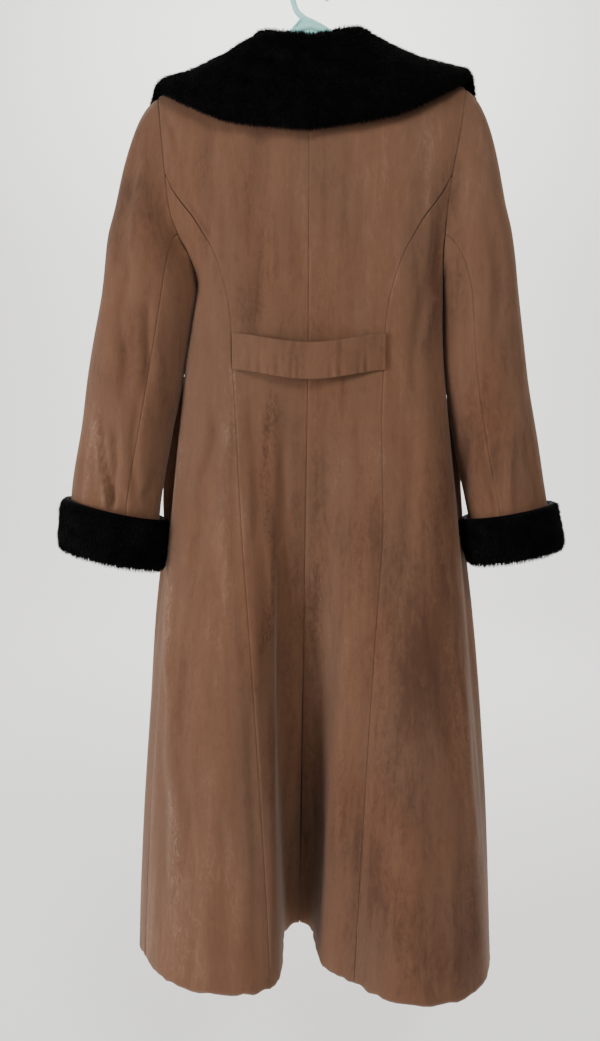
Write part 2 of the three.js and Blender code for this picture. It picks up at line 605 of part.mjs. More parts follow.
function bodyPanel(name, side, piece, columns, lines) {
  const surface = (i, j) => place(side, piece(side, i / columns, onLine(lines, j)));
  panel(name + "_" + side, columns, lines.length - 1, surface, outwards(side));
}
for (const side of ["left", "right"]) {
  bodyPanel("back", side, centreBack, BACK_COLUMNS, BODY_LINES);
  bodyPanel("side_back", side, sideBack, SIDE_COLUMNS, SIDE_LINES);
  bodyPanel("front", side, centreFront, FRONT_COLUMNS, BODY_LINES);
  bodyPanel("side_front", side, sideFront, SIDE_COLUMNS, SIDE_LINES);
}

// ---------------------------------------------------------------- sleeves
const SLEEVE_UP = CAP_ROWS + SLEEVE_ROWS.length - 1;
const TOP_LINES = [3, 4, 5, 6, 7, 8 - NEAR_SEAM, 8, 8 + NEAR_SEAM, 9, 10, 11, 12, 13];
const UNDER_LINES = [-3, -2, -1, 0, 1, 2, 3];

function sleevePanel(name, side, lines) {
  const around = (col) => (col + SLEEVE_COLUMNS) % SLEEVE_COLUMNS;
  const surface = (i, j) => place(side, sleeve(side, around(onLine(lines, i)), j));
  panel(name + "_" + side, lines.length - 1, SLEEVE_UP, surface, -outwards(side));
}
for (const side of ["left", "right"]) {
  sleevePanel("sleeve_top", side, TOP_LINES);
  sleevePanel("sleeve_under", side, UNDER_LINES);
}

// ---------------------------------------------------------------- cuffs
function cuff(side) {
  const points = [];
  for (let i = 0; i < CUFF_COLUMNS; i += 1) {
    const turn = (i / CUFF_COLUMNS) * 2 * Math.PI;
    for (const { up, off } of CUFF_PROFILE) {
      const z = CUFF_TOP_Z - (1 - up) * CUFF_HEIGHT[side];
      points.push(place(side, sleeveRing(side, turn, z, CUFF_CLEAR + off * FUR)));
    }
  }
  const ring = CUFF_PROFILE.length;
  const faces = [];
  for (let i = 0; i < CUFF_COLUMNS; i += 1) {
    for (let j = 0; j < ring; j += 1) {
      const [next, beside] = [((i + 1) % CUFF_COLUMNS) * ring, (j + 1) % ring];
      faces.push([i * ring + j, next + j, next + beside], [i * ring + j, next + beside, i * ring + beside]);
    }
  }
  return geometryFrom(points, faces);
}
for (const side of ["left", "right"]) add("cuff_" + side, cuff(side), fur);

// ---------------------------------------------------------------- collar
// Across the collar: share of the way from the neck edge to the outer edge, and share of the
// full thickness on each face.
const COLLAR_ACROSS = [
  { b: 0, thick: 0.3 },
  { b: 0.08, thick: 0.7 },
  { b: 0.15, thick: 0.9 },
  { b: 0.22, thick: 1 },
  { b: 0.3, thick: 1 },
  { b: 0.45, thick: 0.9 },
  { b: 0.6, thick: 0.82 },
  { b: 0.75, thick: 0.85 },
  { b: 0.88, thick: 0.9 },
  { b: 0.96, thick: 0.8 },
  { b: 1, thick: 0.35 },
];
function collarPoint(along, b) {
  const at = Math.abs(along);
  const side = along < 0 ? -1 : 1;
  const control = (axis) => [
    { b: 0, v: column(COLLAR, "at", "n" + axis, at) },
    { b: 0.15, v: column(COLLAR, "at", "r" + axis, at) },
    { b: 0.3, v: column(COLLAR, "at", "f" + axis, at) },
    { b: 0.6, v: column(COLLAR_FALL, "at", "m" + axis, at) },
    { b: 0.88, v: column(COLLAR_FALL, "at", "t" + axis, at) },
    { b: 1, v: column(COLLAR_FALL, "at", "e" + axis, at) },
  ];
  const spread = side > 0 ? 1 + COLLAR_SPREAD * b : 1;
  const [x, y, z] = ["x", "y", "z"].map((axis) => column(control(axis), "b", "v", b));
  const out = side * spread * x;
  return new THREE.Vector3(out, y, z + HANG_TILT * out);
}
function collar() {
  const across = COLLAR_ACROSS.length - 1;
  const up = 2 * COLLAR_STATIONS;
  const reach = COLLAR.length - 1;
  const surface = (i, j) => {
    const low = Math.min(Math.floor(i), across - 1);
    const b = mix(COLLAR_ACROSS[low].b, COLLAR_ACROSS[low + 1].b, i - low);
    return collarPoint((j / COLLAR_STATIONS - 1) * reach, b);
  };
  const face = (sign) => (i, j) => {
    const ends = Math.min(1, COLLAR_END.thick + COLLAR_END.gain * Math.min(j, up - j));
    const half = (FUR / 2) * COLLAR_ACROSS[i].thick * ends;
    return surface(i, j).addScaledVector(normalAt(surface, i, j, across, up, 1), sign * half);
  };
  return wallGeometry(across, up, face(1), face(-1));
}
add("collar", collar(), fur);

// ---------------------------------------------------------------- half belt
// The strip is sewn into both princess seams and hangs slack between them.
function beltPoint(i, j) {
  const a = i / BELT_COLUMNS;
  const slack = Math.sin(Math.PI * a);
  const z = BELT_TOP_Z - BELT_DROP * slack ** BELT_SAG_POWER - (1 - j / BELT_ROWS) * BELT_WIDTH;
  const x = mix(BELT_END.left, BELT_END.right, a);
  const side = x < 0 ? "left" : "right";
  const half = column(TORSO, "z", side, Math.max(z, WAIST_Z));
  const back = lowerPoint(side, sectionAt(Math.abs(x) / half), z).y;
  return new THREE.Vector3(x, back - BELT_GAP - CLOTH - BELT_STAND_OFF * slack ** BELT_BOW_POWER, z);
}
panel("half_belt", BELT_COLUMNS, BELT_ROWS, beltPoint, 1);

// ---------------------------------------------------------------- buttons
const BUTTON_PROFILE = [
  { r: 0, y: 0 },
  { r: BUTTON_RADIUS - BUTTON_EDGE.under, y: 0 },
  { r: BUTTON_RADIUS, y: BUTTON_EDGE.under },
  { r: BUTTON_RADIUS, y: BUTTON_THICK - BUTTON_EDGE.over },
  { r: BUTTON_RADIUS - BUTTON_EDGE.over, y: BUTTON_THICK },
  { r: BUTTON_RADIUS - BUTTON_DISH.from, y: BUTTON_THICK - BUTTON_DISH.deep },
  { r: 0, y: BUTTON_THICK - BUTTON_DISH.deep },
];
// How far forward the upper front's face stands at the centre front.
function lapFace(z) {
  const y = z > UNDERARM_Z ? upperY("right", 0, z, 1) : lowerPoint("right", 2, z).y;
  return y + LAP_LIFT;
}
for (let i = 0; i < BUTTONS; i += 1) {
  const z = BUTTON_TOP_Z - i * BUTTON_PITCH;
  const profile = BUTTON_PROFILE.map(({ r, y }) => new THREE.Vector2(r, y));
  const geometry = new THREE.LatheGeometry(profile, BUTTON_SIDES);
  const face = Math.max(lapFace(z - BUTTON_RADIUS), lapFace(z), lapFace(z + BUTTON_RADIUS));
  geometry.translate(0, face + BUTTON_STAND, z);
  add("button_" + (i + 1), geometry, horn);
}

// ---------------------------------------------------------------- hanger
function solidOf(geometry) {
  const bare = geometry.clone();
  bare.deleteAttribute("normal");
  bare.deleteAttribute("uv");
  const merged = mergeVertices(bare, 1e-4);
  return new wasm.Manifold(
    new wasm.Mesh({
      numProp: 3,
      vertProperties: new Float32Array(merged.attributes.position.array),
      triVerts: new Uint32Array(merged.index.array),
    }),
  );
}
function geometryOf(solid) {
  const mesh = solid.getMesh();
  const geometry = new THREE.BufferGeometry();
  geometry.setAttribute("position", new THREE.BufferAttribute(mesh.vertProperties, 3));
  geometry.setIndex(new THREE.BufferAttribute(mesh.triVerts, 1));
  return geometry;
}
const hung = (x, z) => new THREE.Vector3(x, 0, z + HANG_TILT * x);

function hangerFrame() {
  const { apexZ, tipX, barZ, clear } = HANGER;
  const armZ = (x) => NECK_POINT_Z - (x - NECK_HALF) * SHOULDER_SLOPE - CLOTH - HANGER_ROD - clear;
  const half = HANGER_BEND.map(({ inward, of, down }) => {
    const line = of === "arm" ? armZ(Math.min(tipX, tipX - inward)) : barZ;
    return [tipX - inward, line - down];
  });
  const mirrored = half.map(([x, z]) => [-x, z]).reverse();
  const corners = [[0, apexZ], ...half, [0, barZ], ...mirrored];
  const loop = new THREE.CatmullRomCurve3(corners.map(([x, z]) => hung(x, z)), true, "centripetal");
  return solidOf(new THREE.TubeGeometry(loop, 60, HANGER_ROD, 8, true));
}

function hangerHook() {
  const reach = HOOK_RADIUS + HOOK_ROD;
  const arc = [1, 0.75, 0.5, 0.25, 0, -0.25, -0.5, -0.75, -1].map((share) => {
    const turn = share * HOOK_TURN;
    return hung(reach * Math.sin(turn), reach * Math.cos(turn) - HOOK_RADIUS);
  });
  const line = new THREE.CatmullRomCurve3([...arc, ...HOOK_STEM.map(({ x, z }) => hung(x, z))]);
  const round = new THREE.Shape().absarc(0, 0, HOOK_ROD, 0, 2 * Math.PI);
  return solidOf(new THREE.ExtrudeGeometry(round, { steps: 40, curveSegments: 4, extrudePath: line }));
}

function hangerWeb() {
  const outline = new THREE.Shape(WEB.map(({ x, z }) => new THREE.Vector2(x, z + HANG_TILT * x)));
  const plate = new THREE.ExtrudeGeometry(outline, { depth: WEB_THICK, bevelEnabled: false });
  return solidOf(plate.translate(0, 0, -WEB_THICK / 2).rotateX(Math.PI / 2));
}

add("hanger", geometryOf(hangerFrame().add(hangerHook()).add(hangerWeb())), plastic);

export default coat;
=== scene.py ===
"""A long princess-line coat of brown peached cloth with a deep collar and turned-up cuffs of black
faux fur, hanging on a moulded plastic hanger. Blender works in metres; the cutter's sizes and tables
below are millimetres, and MM turns them into metres when a mesh is made."""

import math

import bpy
import bmesh
import numpy as np
from mathutils import Matrix, Vector


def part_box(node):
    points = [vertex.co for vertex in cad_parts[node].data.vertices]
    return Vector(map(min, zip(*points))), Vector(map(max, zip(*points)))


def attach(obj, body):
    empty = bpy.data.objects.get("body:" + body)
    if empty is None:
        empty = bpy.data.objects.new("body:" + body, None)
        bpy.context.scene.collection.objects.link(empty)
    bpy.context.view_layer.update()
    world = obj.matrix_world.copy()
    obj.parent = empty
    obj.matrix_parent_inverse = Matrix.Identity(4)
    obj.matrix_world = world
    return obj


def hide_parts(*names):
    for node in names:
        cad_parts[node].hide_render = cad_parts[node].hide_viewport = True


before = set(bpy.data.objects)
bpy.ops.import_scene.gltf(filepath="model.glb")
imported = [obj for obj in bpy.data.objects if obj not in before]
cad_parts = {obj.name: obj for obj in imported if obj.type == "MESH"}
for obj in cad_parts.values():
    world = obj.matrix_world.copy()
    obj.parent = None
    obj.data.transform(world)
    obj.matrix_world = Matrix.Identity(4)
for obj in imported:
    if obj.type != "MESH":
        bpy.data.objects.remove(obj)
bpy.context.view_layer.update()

MM = 0.001
SIDES = {"left": -1, "right": 1}

# ---------------------------------------------------------------- driving sizes
CLOTH = 2.4
HEM_Z = -1355
WAIST_Z = -506
NECK_HALF = 67
NECK_POINT_Z = -96
BACK_NECK_Z = -118
BACK_NECK_DEPTH = 30
SHOULDER_SLOPE = 0.4
SHOULDER_ROUND = 120
HANG_TILT = 0.04
TIP_Z = -149
TILT_FROM_Z = -265
TIP_HALF = {"left": 200, "right": 206}
LAP = 30
LAP_S = 2.2
LAP_LIFT = 3.2
LAP_LIFT_FROM = 66
LAP_LIFT_Z = -238
LAP_LIFT_EASE = 28
FUR = 14
BELT_TOP_Z = -471
BELT_WIDTH = 47
BELT_DROP = 13
BELT_STAND_OFF = 11
BELT_ENDS = (-99.5, 101)
BELT_GAP = 0.9
BELT_SAG_POWER = 1.5
BELT_BOW_POWER = 1.2
BUTTONS = 4
CUFF_TOP_Z = -702
CUFF_HEIGHT = {"left": 72, "right": 66}
CUFF_CLEAR = 1.2


# ---------------------------------------------------------------- small maths
def mix(a, b, t):
    return a + (b - a) * t


def ease(t):
    t = np.clip(t, 0, 1)
    return t * t * (3 - 2 * t)


def near(distance, reach):
    """1 at no distance, fading to almost nothing by twice the reach."""
    return np.exp(-((distance / reach) ** 2))


def hermite(t):
    """The weights of a cubic's start, its slope there, its end and its slope there."""
    t2, t3 = t * t, t * t * t
    return 2 * t3 - 3 * t2 + 1, t3 - 2 * t2 + t, 3 * t2 - 2 * t3, t3 - t2


def cubic(keys, values, at):
    """Values on the last axis, read between their keys by a cubic that never overshoots them."""
    width = np.diff(keys)
    grade = np.diff(values) / width
    before, after = grade[..., :-1], grade[..., 1:]
    same = before * after > 0
    inner = np.where(same, 2 * before * after / np.where(same, before + after, 1), 0)
    slope = np.concatenate([grade[..., :1], inner, grade[..., -1:]], axis=-1)
    at = np.asarray(at, float)
    i = np.clip(np.searchsorted(keys, at, side="right") - 1, 0, len(width) - 1)
    start, leave, end, arrive = hermite(np.clip((at - keys[i]) / width[i], 0, 1))
    ends = start * values[..., i] + leave * width[i] * slope[..., i] + end * values[..., i + 1]
    return ends + arrive * width[i] * slope[..., i + 1]


class Table:
    """Rows of sizes under named columns."""

    def __init__(self, names, *rows):
        self.names = names.split()
        self.rows = np.array(sorted(rows), float)

    def __call__(self, name, at):
        return cubic(self.rows[:, 0], self.rows[:, self.names.index(name)], at)


# ---------------------------------------------------------------- the cut, as tables
TORSO = Table(
    "z left right back front",
    (-506, 168, 185.2, 63, 40),
    (-450, 158.3, 182.4, 61, 38),
    (-400, 151.2, 182, 58, 37),
    (-360, 167, 190, 55, 36),
    (-320, 194, 201, 52, 35),
    (-272, 206, 212, 47, 34),
    (-210, 213, 219, 43, 32),
    (-140, 216, 223, 40, 30),
)
SECTION = Table(
    "s x",
    (0, 0), (0.25, 0.34), (0.5, 0.63), (0.7, 0.82), (0.85, 0.93), (0.95, 0.985), (1, 1),
    (1.07, 0.975), (1.2, 0.89), (1.4, 0.71), (1.65, 0.42), (1.8, 0.22), (2, 0), (LAP_S, -0.19),
)
SECTION_POWER = 3
HEM = Table(
    "s left_x left_y left_flare right_x right_y right_flare",
    (0, 8, 31, 1.25, -8, 31, 1.25),
    (0.1, 25, 14, 1.25, 9, 17, 1.25),
    (0.2, 31, -18, 1.25, 14, -16, 1.25),
    (0.3, 32, -56, 1.25, 18, -50, 1.25),
    (0.4, 35, -90, 1.25, 36, -80, 1.25),
    (0.5, 48, -112, 1.25, 68, -100, 1.25),
    (0.6, 84, -124, 1.25, 104, -129, 1.25),
    (0.7, 127, -123, 1.28, 150, -143, 1.25),
    (0.8, 171, -110, 1.34, 197, -136, 1.25),
    (0.9, 207, -84, 1.42, 241, -108, 1.25),
    (1, 231, -50, 1.5, 264, -62, 1.25),
    (1.08, 246, -18, 1.66, 272, -20, 1.8),
    (1.18, 241, 12, 2.3, 263, 12, 2.3),
    (1.32, 205, 24, 2, 222, 26, 2),
    (1.48, 156, 20, 1.6, 169, 22, 1.6),
    (1.62, 108, 34, 1.35, 118, 36, 1.35),
    (1.8, 58, 42, 1.25, 60, 42, 1.25),
    (2, 0, 42, 1.25, 0, 42, 1.25),
    (LAP_S, -LAP, 42, 1.25, -LAP, 42, 1.25),
)
HEM_PRINCESS_S = {"back": 0.5, "front": 1.5}
PRINCESS_SETTLE_Z = -760
FOLD_POWER = 1.1
SPREAD = Table(
    "z left right",
    (-1355, 0, 0),
    (-1000, 0, 0),
    (-850, 5, 4),
    (-760, 6, 5),
    (-690, 17, 11),
    (-620, 25, 19),
    (-560, 22.5, 18),
    (-506, 15, 10),
    (-450, 7, 5),
    (-415, 0, 0),
    (-400, 0, 0),
)
SPREAD_S = {"from": 1.07, "full": 1.17, "until": 1.32, "end": 1.7}
ARMHOLE = Table(
    "k edge_z centre_z left right scoop",
    (0, -400, -400, 150, 182, 0),
    (1, -385, -378, 153, 180, 6),
    (2, -365, -350, 160, 179, 11),
    (3, -340, -318, 173, 180, 14),
    (4, -305, -280, 184, 182, 14),
    (5, -265, -240, 188.5, 187, 11),
    (6, -225, -198, 192.5, 195, 7),
    (7, -186, -156, 196, 202, 3),
    (8, TIP_Z, BACK_NECK_Z, TIP_HALF["left"], TIP_HALF["right"], 0),
)
TIP_LEVEL = 8
PRINCESS_LEVEL = 5
PRINCESS = Table(
    "z left right",
    (-506, 100, 100),
    (-470, 100.5, 100.5),
    (-435, 104, 104),
    (-400, 112, 112),
    (-385, 117, 117),
    (-365, 125, 125),
    (-340, 140, 139),
    (-320, 153, 151),
    (-305, 165, 163),
    (-290, 176, 174),
    (-265, 188.5, 187),
)
FRONT_PRINCESS = Table(
    "z left right",
    (-506, 92, 96),
    (-450, 94, 98),
    (-400, 100, 104),
    (-385, 105, 109),
    (-365, 113, 117),
    (-340, 127, 131),
    (-305, 151, 152),
    (-265, 177.5, 176),
)
NECKLINE = Table(
    "k x z",
    (0, -LAP, -400),
    (1, -LAP, -364),
    (2, -LAP, -328),
    (3, -8, -292),
    (4, 12, -252),
    (5, 29, -210),
    (6, 44, -168),
    (7, 57, -127),
    (8, NECK_HALF, NECK_POINT_Z),
)
SKIRT_ROWS = (
    HEM_Z, -1300, -1235, -1160, -1080, -1000, -920, -840,
    -760, -690, -620, -560, WAIST_Z, -470, -435, -400,
)
UNDERARM_ROW = len(SKIRT_ROWS) - 1
SLEEVE = {
    "left": Table(
        "z x y wide deep slope",
        (-418, 215.8, -9, 64.2, 46, 0),
        (-520, 234, -12, 64.5, 46, 0.06),
        (-609, 250, -15, 61, 45, 0.14),
        (-690, 264, -18, 60, 44, 0.23),
        (-770, 271.5, -22, 59.5, 44, 0.24),
    ),
    "right": Table(
        "z x y wide deep slope",
        (-418, 233.1, -9, 51, 46, 0),
        (-520, 243.5, -12, 55.2, 46, 0.06),
        (-609, 259, -14, 56, 45, 0.13),
        (-690, 275, -17, 53.5, 44, 0.2),
        (-770, 291.5, -19, 52.5, 44, 0.21),
    ),
}
SLEEVE_ROWS = (-418, -455, -495, -535, -575, -615, -655, -695, -735, -762)
SLEEVE_COLUMNS = 16
CAP_ROWS = 6
CAP_PUSH = {"out": 38, "down": 14}
CAP_RISE = {"in": 20, "up": 121}
CAP_REACH = 260
COLLAR = Table(
    "at nx ny nz rx ry rz fx fy fz",
    (0, 0, -28, -115, 0, -36, -100, 0, -46, -112),
    (1, 38, -23, -108, 43, -32, -93, 52, -41, -105),
    (2, 60, -12, -97, 62, -17, -86.5, 77, -23, -97),
    (3, 63, -1, -91, 66, 0, -85.5, 85, 0, -95),
    (4, 63, 12, -92, 69, 18, -86, 84, 22, -97),
    (5, 52, 28, -138, 60, 34, -134, 72, 38, -141),
    (6, 28, 37, -222, 38, 42, -222, 48, 43, -226),
    (7, 2, 43, -318, 7, 46, -319, 12, 47.5, -321),
)
COLLAR_FALL = Table(
    "at mx my mz tx ty tz ex ey ez",
    (0, 0, -54, -155, 0, -57, -200, 0, -58, -221),
    (1, 74, -49, -146, 94, -53, -188, 100, -54, -206),
    (2, 120, -31, -129, 155, -38, -159, 168, -41, -173),
    (3, 148, 0, -121, 195, -3, -135, 206, -6, -146),
    (4, 139, 28, -127, 205, 31, -147, 219, 34, -171),
    (5, 110, 41, -176, 156, 39.5, -216, 168, 38.5, -232),
    (6, 78, 44, -250, 108, 43.5, -278, 116, 43, -288),
    (7, 25, 47.5, -330, 34, 47.5, -340, 38, 47, -345),
)
COLLAR_LINES = ((0, "n"), (0.15, "r"), (0.3, "f"), (0.6, "m"), (0.88, "t"), (1, "e"))
COLLAR_SPREAD = 0.058

# Creases that the hanging cloth has settled into, laid over the panels by place. A row runs from one
# end to the other in millimetres; depth is positive for a trough and negative for a ridge.
BACK_CREASES = (
    # x0, z0, x1, z1, depth, width
    (-189, -188, -166, -242, 1.8, 7),
    (-126, -206, -126, -240, 0.9, 3),
    (-128, -214, -129, -364, 1.2, 8),
    (-68, -205, -66, -340, 1.7, 15),
    (-66, -320, -64, -475, 1.9, 14),
    (-98, -240, -96, -360, -0.9, 9),
    (-30, -230, -26, -420, -0.9, 13),
    (30, -240, 24, -400, 0.8, 8),
    (62, -230, 70, -430, 1.1, 15),
    (112, -225, 106, -330, 1.0, 9),
    (146, -210, 138, -300, -0.9, 9),
    (176, -270, 158, -430, 2.2, 11),
    (150, -410, 142, -560, 1.7, 10),
    (-150, -300, -128, -350, 1.2, 6),
    (-140, -400, -128, -500, 1.6, 9),
    (-123, -580, -134, -664, 2.6, 9),
    (-134, -650, -162, -815, 2.0, 12),
    (-108, -560, -112, -760, -1.3, 10),
    (-92, -700, -90, -900, 1.0, 9),
    (-174, -600, -192, -900, -1.8, 9),
    (-192, -900, -186, -1070, -2.0, 9),
    (-186, -1060, -176, -1215, -1.8, 10),
    (-168, -860, -160, -1120, 1.8, 9),
    (-200, -1000, -204, -1330, 1.5, 9),
    (-150, -1120, -152, -1345, 1.3, 12),
    (-112, -960, -122, -1345, -1.6, 20),
    (-74, -940, -72, -1345, 1.2, 10),
    (184, -820, 199, -912, -1.8, 9),
    (199, -905, 238, -1170, -2.2, 11),
    (166, -780, 196, -1080, 1.9, 11),
    (206, -1060, 232, -1340, 1.5, 12),
    (132, -590, 136, -800, 1.2, 13),
    (122, -860, 150, -1345, -1.7, 24),
    (172, -1120, 184, -1345, 1.3, 13),
    (80, -640, 78, -900, 1.0, 9),
    (58, -560, 50, -760, -1.2, 9),
    (-72, -555, -70, -760, 1.2, 9),
    (-46, -545, -40, -700, -1.0, 8),
    (30, -545, 24, -700, 0.9, 7),
    (-54, -700, -40, -1352, -2.2, 8),
    (-36, -690, -24, -1340, 3.4, 10),
    (56, -860, 24, -1345, -1.8, 11),
    (38, -840, 8, -1335, 2.4, 11),
    (-8, -900, -6, -1330, 0.8, 9),
    (84, -900, 76, -1345, 1.1, 11),
    (-30, -600, -24, -760, 1.1, 8),
)
CREASE_GAIN = {"body": 1.7, "sleeve": 2.3}
FRONT_CREASES = (
    (-160, -290, -126, -410, 1.7, 11),
    (-96, -420, -112, -640, 1.4, 13),
    (-128, -600, -150, -900, -1.6, 15),
    (-150, -890, -178, -1345, 1.9, 14),
    (-58, -620, -78, -1100, 1.2, 13),
    (-112, -990, -124, -1345, -1.6, 18),
    (150, -300, 124, -430, 1.5, 10),
    (104, -440, 122, -660, 1.5, 13),
    (140, -610, 162, -920, -1.7, 15),
    (164, -930, 196, -1345, 1.8, 14),
    (70, -640, 92, -1120, 1.2, 14),
    (124, -1010, 140, -1345, -1.5, 17),
    (40, -380, 46, -520, 0.9, 9),
    (-84, -330, -70, -440, -1.0, 10),
)
SLEEVE_BACK_CREASES = (
    (-233, -225, -240, -390, 2.3, 11),
    (-240, -375, -243, -490, 2.0, 10),
    (-243, -480, -239, -560, 1.6, 9),
    (-282, -570, -268, -704, -2.4, 3.4),
    (-273, -580, -263, -704, 1.7, 5),
    (-255, -592, -260, -704, 2.3, 5.5),
    (-284, -585, -301, -698, -1.9, 3.6),
    (-292, -600, -306, -690, 1.5, 5),
    (-200, -650, -219, -688, 2.6, 6),
    (-224, -560, -232, -690, 1.0, 7),
    (-262, -300, -276, -480, -1.4, 11),
    (-205, -430, -216, -540, 1.6, 8),
    (216, -585, 214, -676, 2.3, 6),
    (206, -450, 222, -560, 1.0, 8),
    (238, -300, 246, -470, 1.4, 12),
    (262, -300, 276, -470, -1.3, 12),
    (290, -590, 308, -700, 1.7, 6),
    (264, -600, 274, -704, -1.4, 6),
    (236, -640, 252, -704, 1.6, 5),
    (282, -520, 292, -610, -1.0, 8),
)
SLEEVE_FRONT_CREASES = (
    (-225, -240, -246, -400, 1.9, 12),
    (-262, -330, -280, -500, -1.4, 12),
    (-232, -430, -246, -560, 1.8, 9),
    (-214, -560, -236, -690, 1.9, 7),
    (-284, -590, -296, -700, 1.7, 6),
    (-256, -610, -262, -700, -1.4, 6),
    (232, -250, 248, -420, 1.9, 12),
    (268, -330, 286, -500, -1.4, 12),
    (226, -440, 246, -580, 1.7, 9),
    (232, -590, 250, -700, 1.8, 6),
    (286, -600, 306, -700, 1.6, 6),
    (262, -620, 276, -700, -1.3, 6),
)
# Strips that show paler or darker flecks: a few where the nap lies the other way, most of them painted light
# and shade, with painted highlights along fold ridges and on the lit wall of the skirt's centre-back valley,
# painted shade in creases and down that valley, and a painted shadow beside the right armhole.
NAP_AND_PAINTED_LIGHT_STRIPS = (
    # x0, z0, x1, z1, width, tone
    (-53, -545, -50, -900, 12, -1.0),
    (-44, -900, -32, -1350, 12, -0.6),
    (-20, -560, -16, -900, 14, -0.35),
    (40, -580, 29, -900, 9, 0.85),
    (29, -880, 20, -1150, 10, 0.55),
    (20, -760, 10, -1340, 14, -0.4),
    (88, -590, 52, -915, 9, 0.6),
    (60, -900, 30, -1330, 10, 0.55),
    (-176, -590, -198, -930, 9, 0.9),
    (-199, -920, -180, -1200, 11, 1.0),
    (-180, -1190, -178, -1350, 11, 0.7),
    (-214, -960, -222, -1330, 8, 0.5),
    (184, -820, 240, -1190, 9, 0.7),
    (236, -1150, 244, -1345, 12, 0.45),
    (-66, -205, -64, -475, 17, -0.5),
    (-128, -210, -129, -364, 9, -0.45),
    (-20, -215, 24, -460, 22, 0.25),
    (178, -280, 160, -470, 10, -0.7),
    (150, -210, 150, -330, 14, 0.35),
    (-104, -560, -116, -900, 10, 0.35),
    (104, -620, 118, -1340, 17, 0.3),
    (-128, -820, -146, -1345, 16, 0.3),
    (-82, -900, -70, -1345, 10, -0.35),
    (-282, -560, -268, -704, 4, 0.8),
    (-284, -585, -301, -698, 4, 0.7),
    (-262, -280, -280, -560, 12, 0.35),
    (270, -280, 286, -560, 12, 0.3),
    (10, -620, 6, -1345, 26, -0.4),
    (-150, -240, -140, -420, 12, -0.35),
    (172, -620, 196, -900, 8, -0.5),
    (-96, -470, -100, -620, 7, 0.3),
    (128, -480, 122, -640, 8, 0.35),
    (212, -980, 224, -1330, 6, 0.6),
    (-236, -980, -240, -1340, 6, 0.5),
)
# Painted light and shade: broad parts of the cloth made darker, as shade over the right of the skirt, down
# its centre, on the left sleeve, on the upper left back, beside the right armhole and where the left sleeve
# meets the body, or paler, as light on the left of the skirt and the upper right back.
PAINTED_SHADING_STRIPS = (
    # x0, z0, x1, z1, width, tone
    (112, -700, 130, -1345, 60, -1.0),
    (186, -560, 232, -1345, 38, -1.1),
    (4, -560, 4, -1345, 34, -0.1),
    (-262, -260, -284, -560, 46, -0.75),
    (-205, -300, -214, -610, 22, -0.5),
    (178, -250, 164, -500, 14, -0.9),
    (-120, -900, -130, -1345, 50, 0.2),
    (-140, -500, -150, -900, 40, 0.2),
    (-70, -200, -66, -470, 24, -0.3),
    (84, -210, 84, -470, 30, 0.3),
)


# ---------------------------------------------------------------- the coat's surface
def bulge(share):
    return (1 - np.minimum(1, np.abs(share)) ** SECTION_POWER) ** (1 / SECTION_POWER)


def top_z(side, x):
    """Height of the shoulder seam or back neck above a distance from the centre."""
    out = np.abs(x)
    round_ = np.sqrt(np.clip(1 - (out / NECK_HALF) ** 2, 0, 1))
    neck = NECK_POINT_Z - (NECK_POINT_Z - BACK_NECK_Z) * round_
    seam = NECK_POINT_Z - (out - NECK_HALF) * SHOULDER_SLOPE
    return np.where(out >= NECK_HALF, seam, neck) + HANG_TILT * SIDES[side] * x


def upper_y(side, x, z, sign):
    """Depth of the coat above the underarm; sign is -1 for the back and 1 for the front."""
    out = np.abs(x)
    full = TORSO("back" if sign < 0 else "front", z) * bulge(out / TORSO(side, z))
    neck = np.sqrt(np.clip(1 - (out / NECK_HALF) ** 2, 0, 1))
    edge = BACK_NECK_DEPTH * neck if sign < 0 else 0 * neck
    seam = NECK_POINT_Z - (out - NECK_HALF) * SHOULDER_SLOPE + HANG_TILT * SIDES[side] * x
    top = top_z(side, x) if sign < 0 else seam
    down = np.clip((top - z) / SHOULDER_ROUND, 0, 1)
    return sign * mix(edge, full, np.sqrt(1 - (1 - down) ** 2))


def stack(x, y, z):
    return np.stack(np.broadcast_arrays(x, y, z), axis=-1)


def lower_point(side, s, z):
    """The coat from the underarm to the hem; s runs from centre back, 0, to centre front, 2."""
    level = np.maximum(z, WAIST_Z)
    share = SECTION("x", s)
    x = TORSO(side, level) * share
    depth = np.where(s < 1, -TORSO("back", level), TORSO("front", level))
    fall = np.clip((WAIST_Z - z) / (WAIST_Z - HEM_Z), 0, 1)
    flared = 1 - (1 - fall) ** HEM(side + "_flare", s)
    start, full, until, end = SPREAD_S.values()
    spread = SPREAD(side, z) * ease((s - start) / (full - start)) * ease((end - s) / (end - until))
    return stack(
        mix(x, HEM(side + "_x", s), flared) + spread,
        mix(depth * bulge(share), HEM(side + "_y", s), fall**FOLD_POWER),
        z,
    )


def edge_z(side, k):
    z = ARMHOLE("edge_z", k)
    above = np.clip((z - TILT_FROM_Z) / (TIP_Z - TILT_FROM_Z), 0, 1)
    return z + above * (top_z(side, TIP_HALF[side]) - TIP_Z)


def armhole(side, k, sign):
    z = edge_z(side, k)
    x = ARMHOLE(side, k) - (ARMHOLE("scoop", k) if sign > 0 else 0)
    return stack(x, upper_y(side, x, z, sign), z)


SEAMS = {"back": PRINCESS, "front": FRONT_PRINCESS}
STATIONS = {"back": np.linspace(0, 1, 801), "front": np.linspace(2, 1, 801)}


def section_at(share, face="back"):
    return np.interp(share, SECTION("x", STATIONS[face]), STATIONS[face])


def princess_s(side, z, face="back"):
    level = np.maximum(z, WAIST_Z)
    seam = section_at(SEAMS[face](side, level) / TORSO(side, level), face)
    return mix(HEM_PRINCESS_S[face], seam, ease((z - PRINCESS_SETTLE_Z) / (WAIST_Z - PRINCESS_SETTLE_Z)))


def row_z(row):
    return np.interp(row, range(UNDERARM_ROW + 1), SKIRT_ROWS)


def by_row(row, low, high):
    return np.where((row <= UNDERARM_ROW)[..., None], low, high)


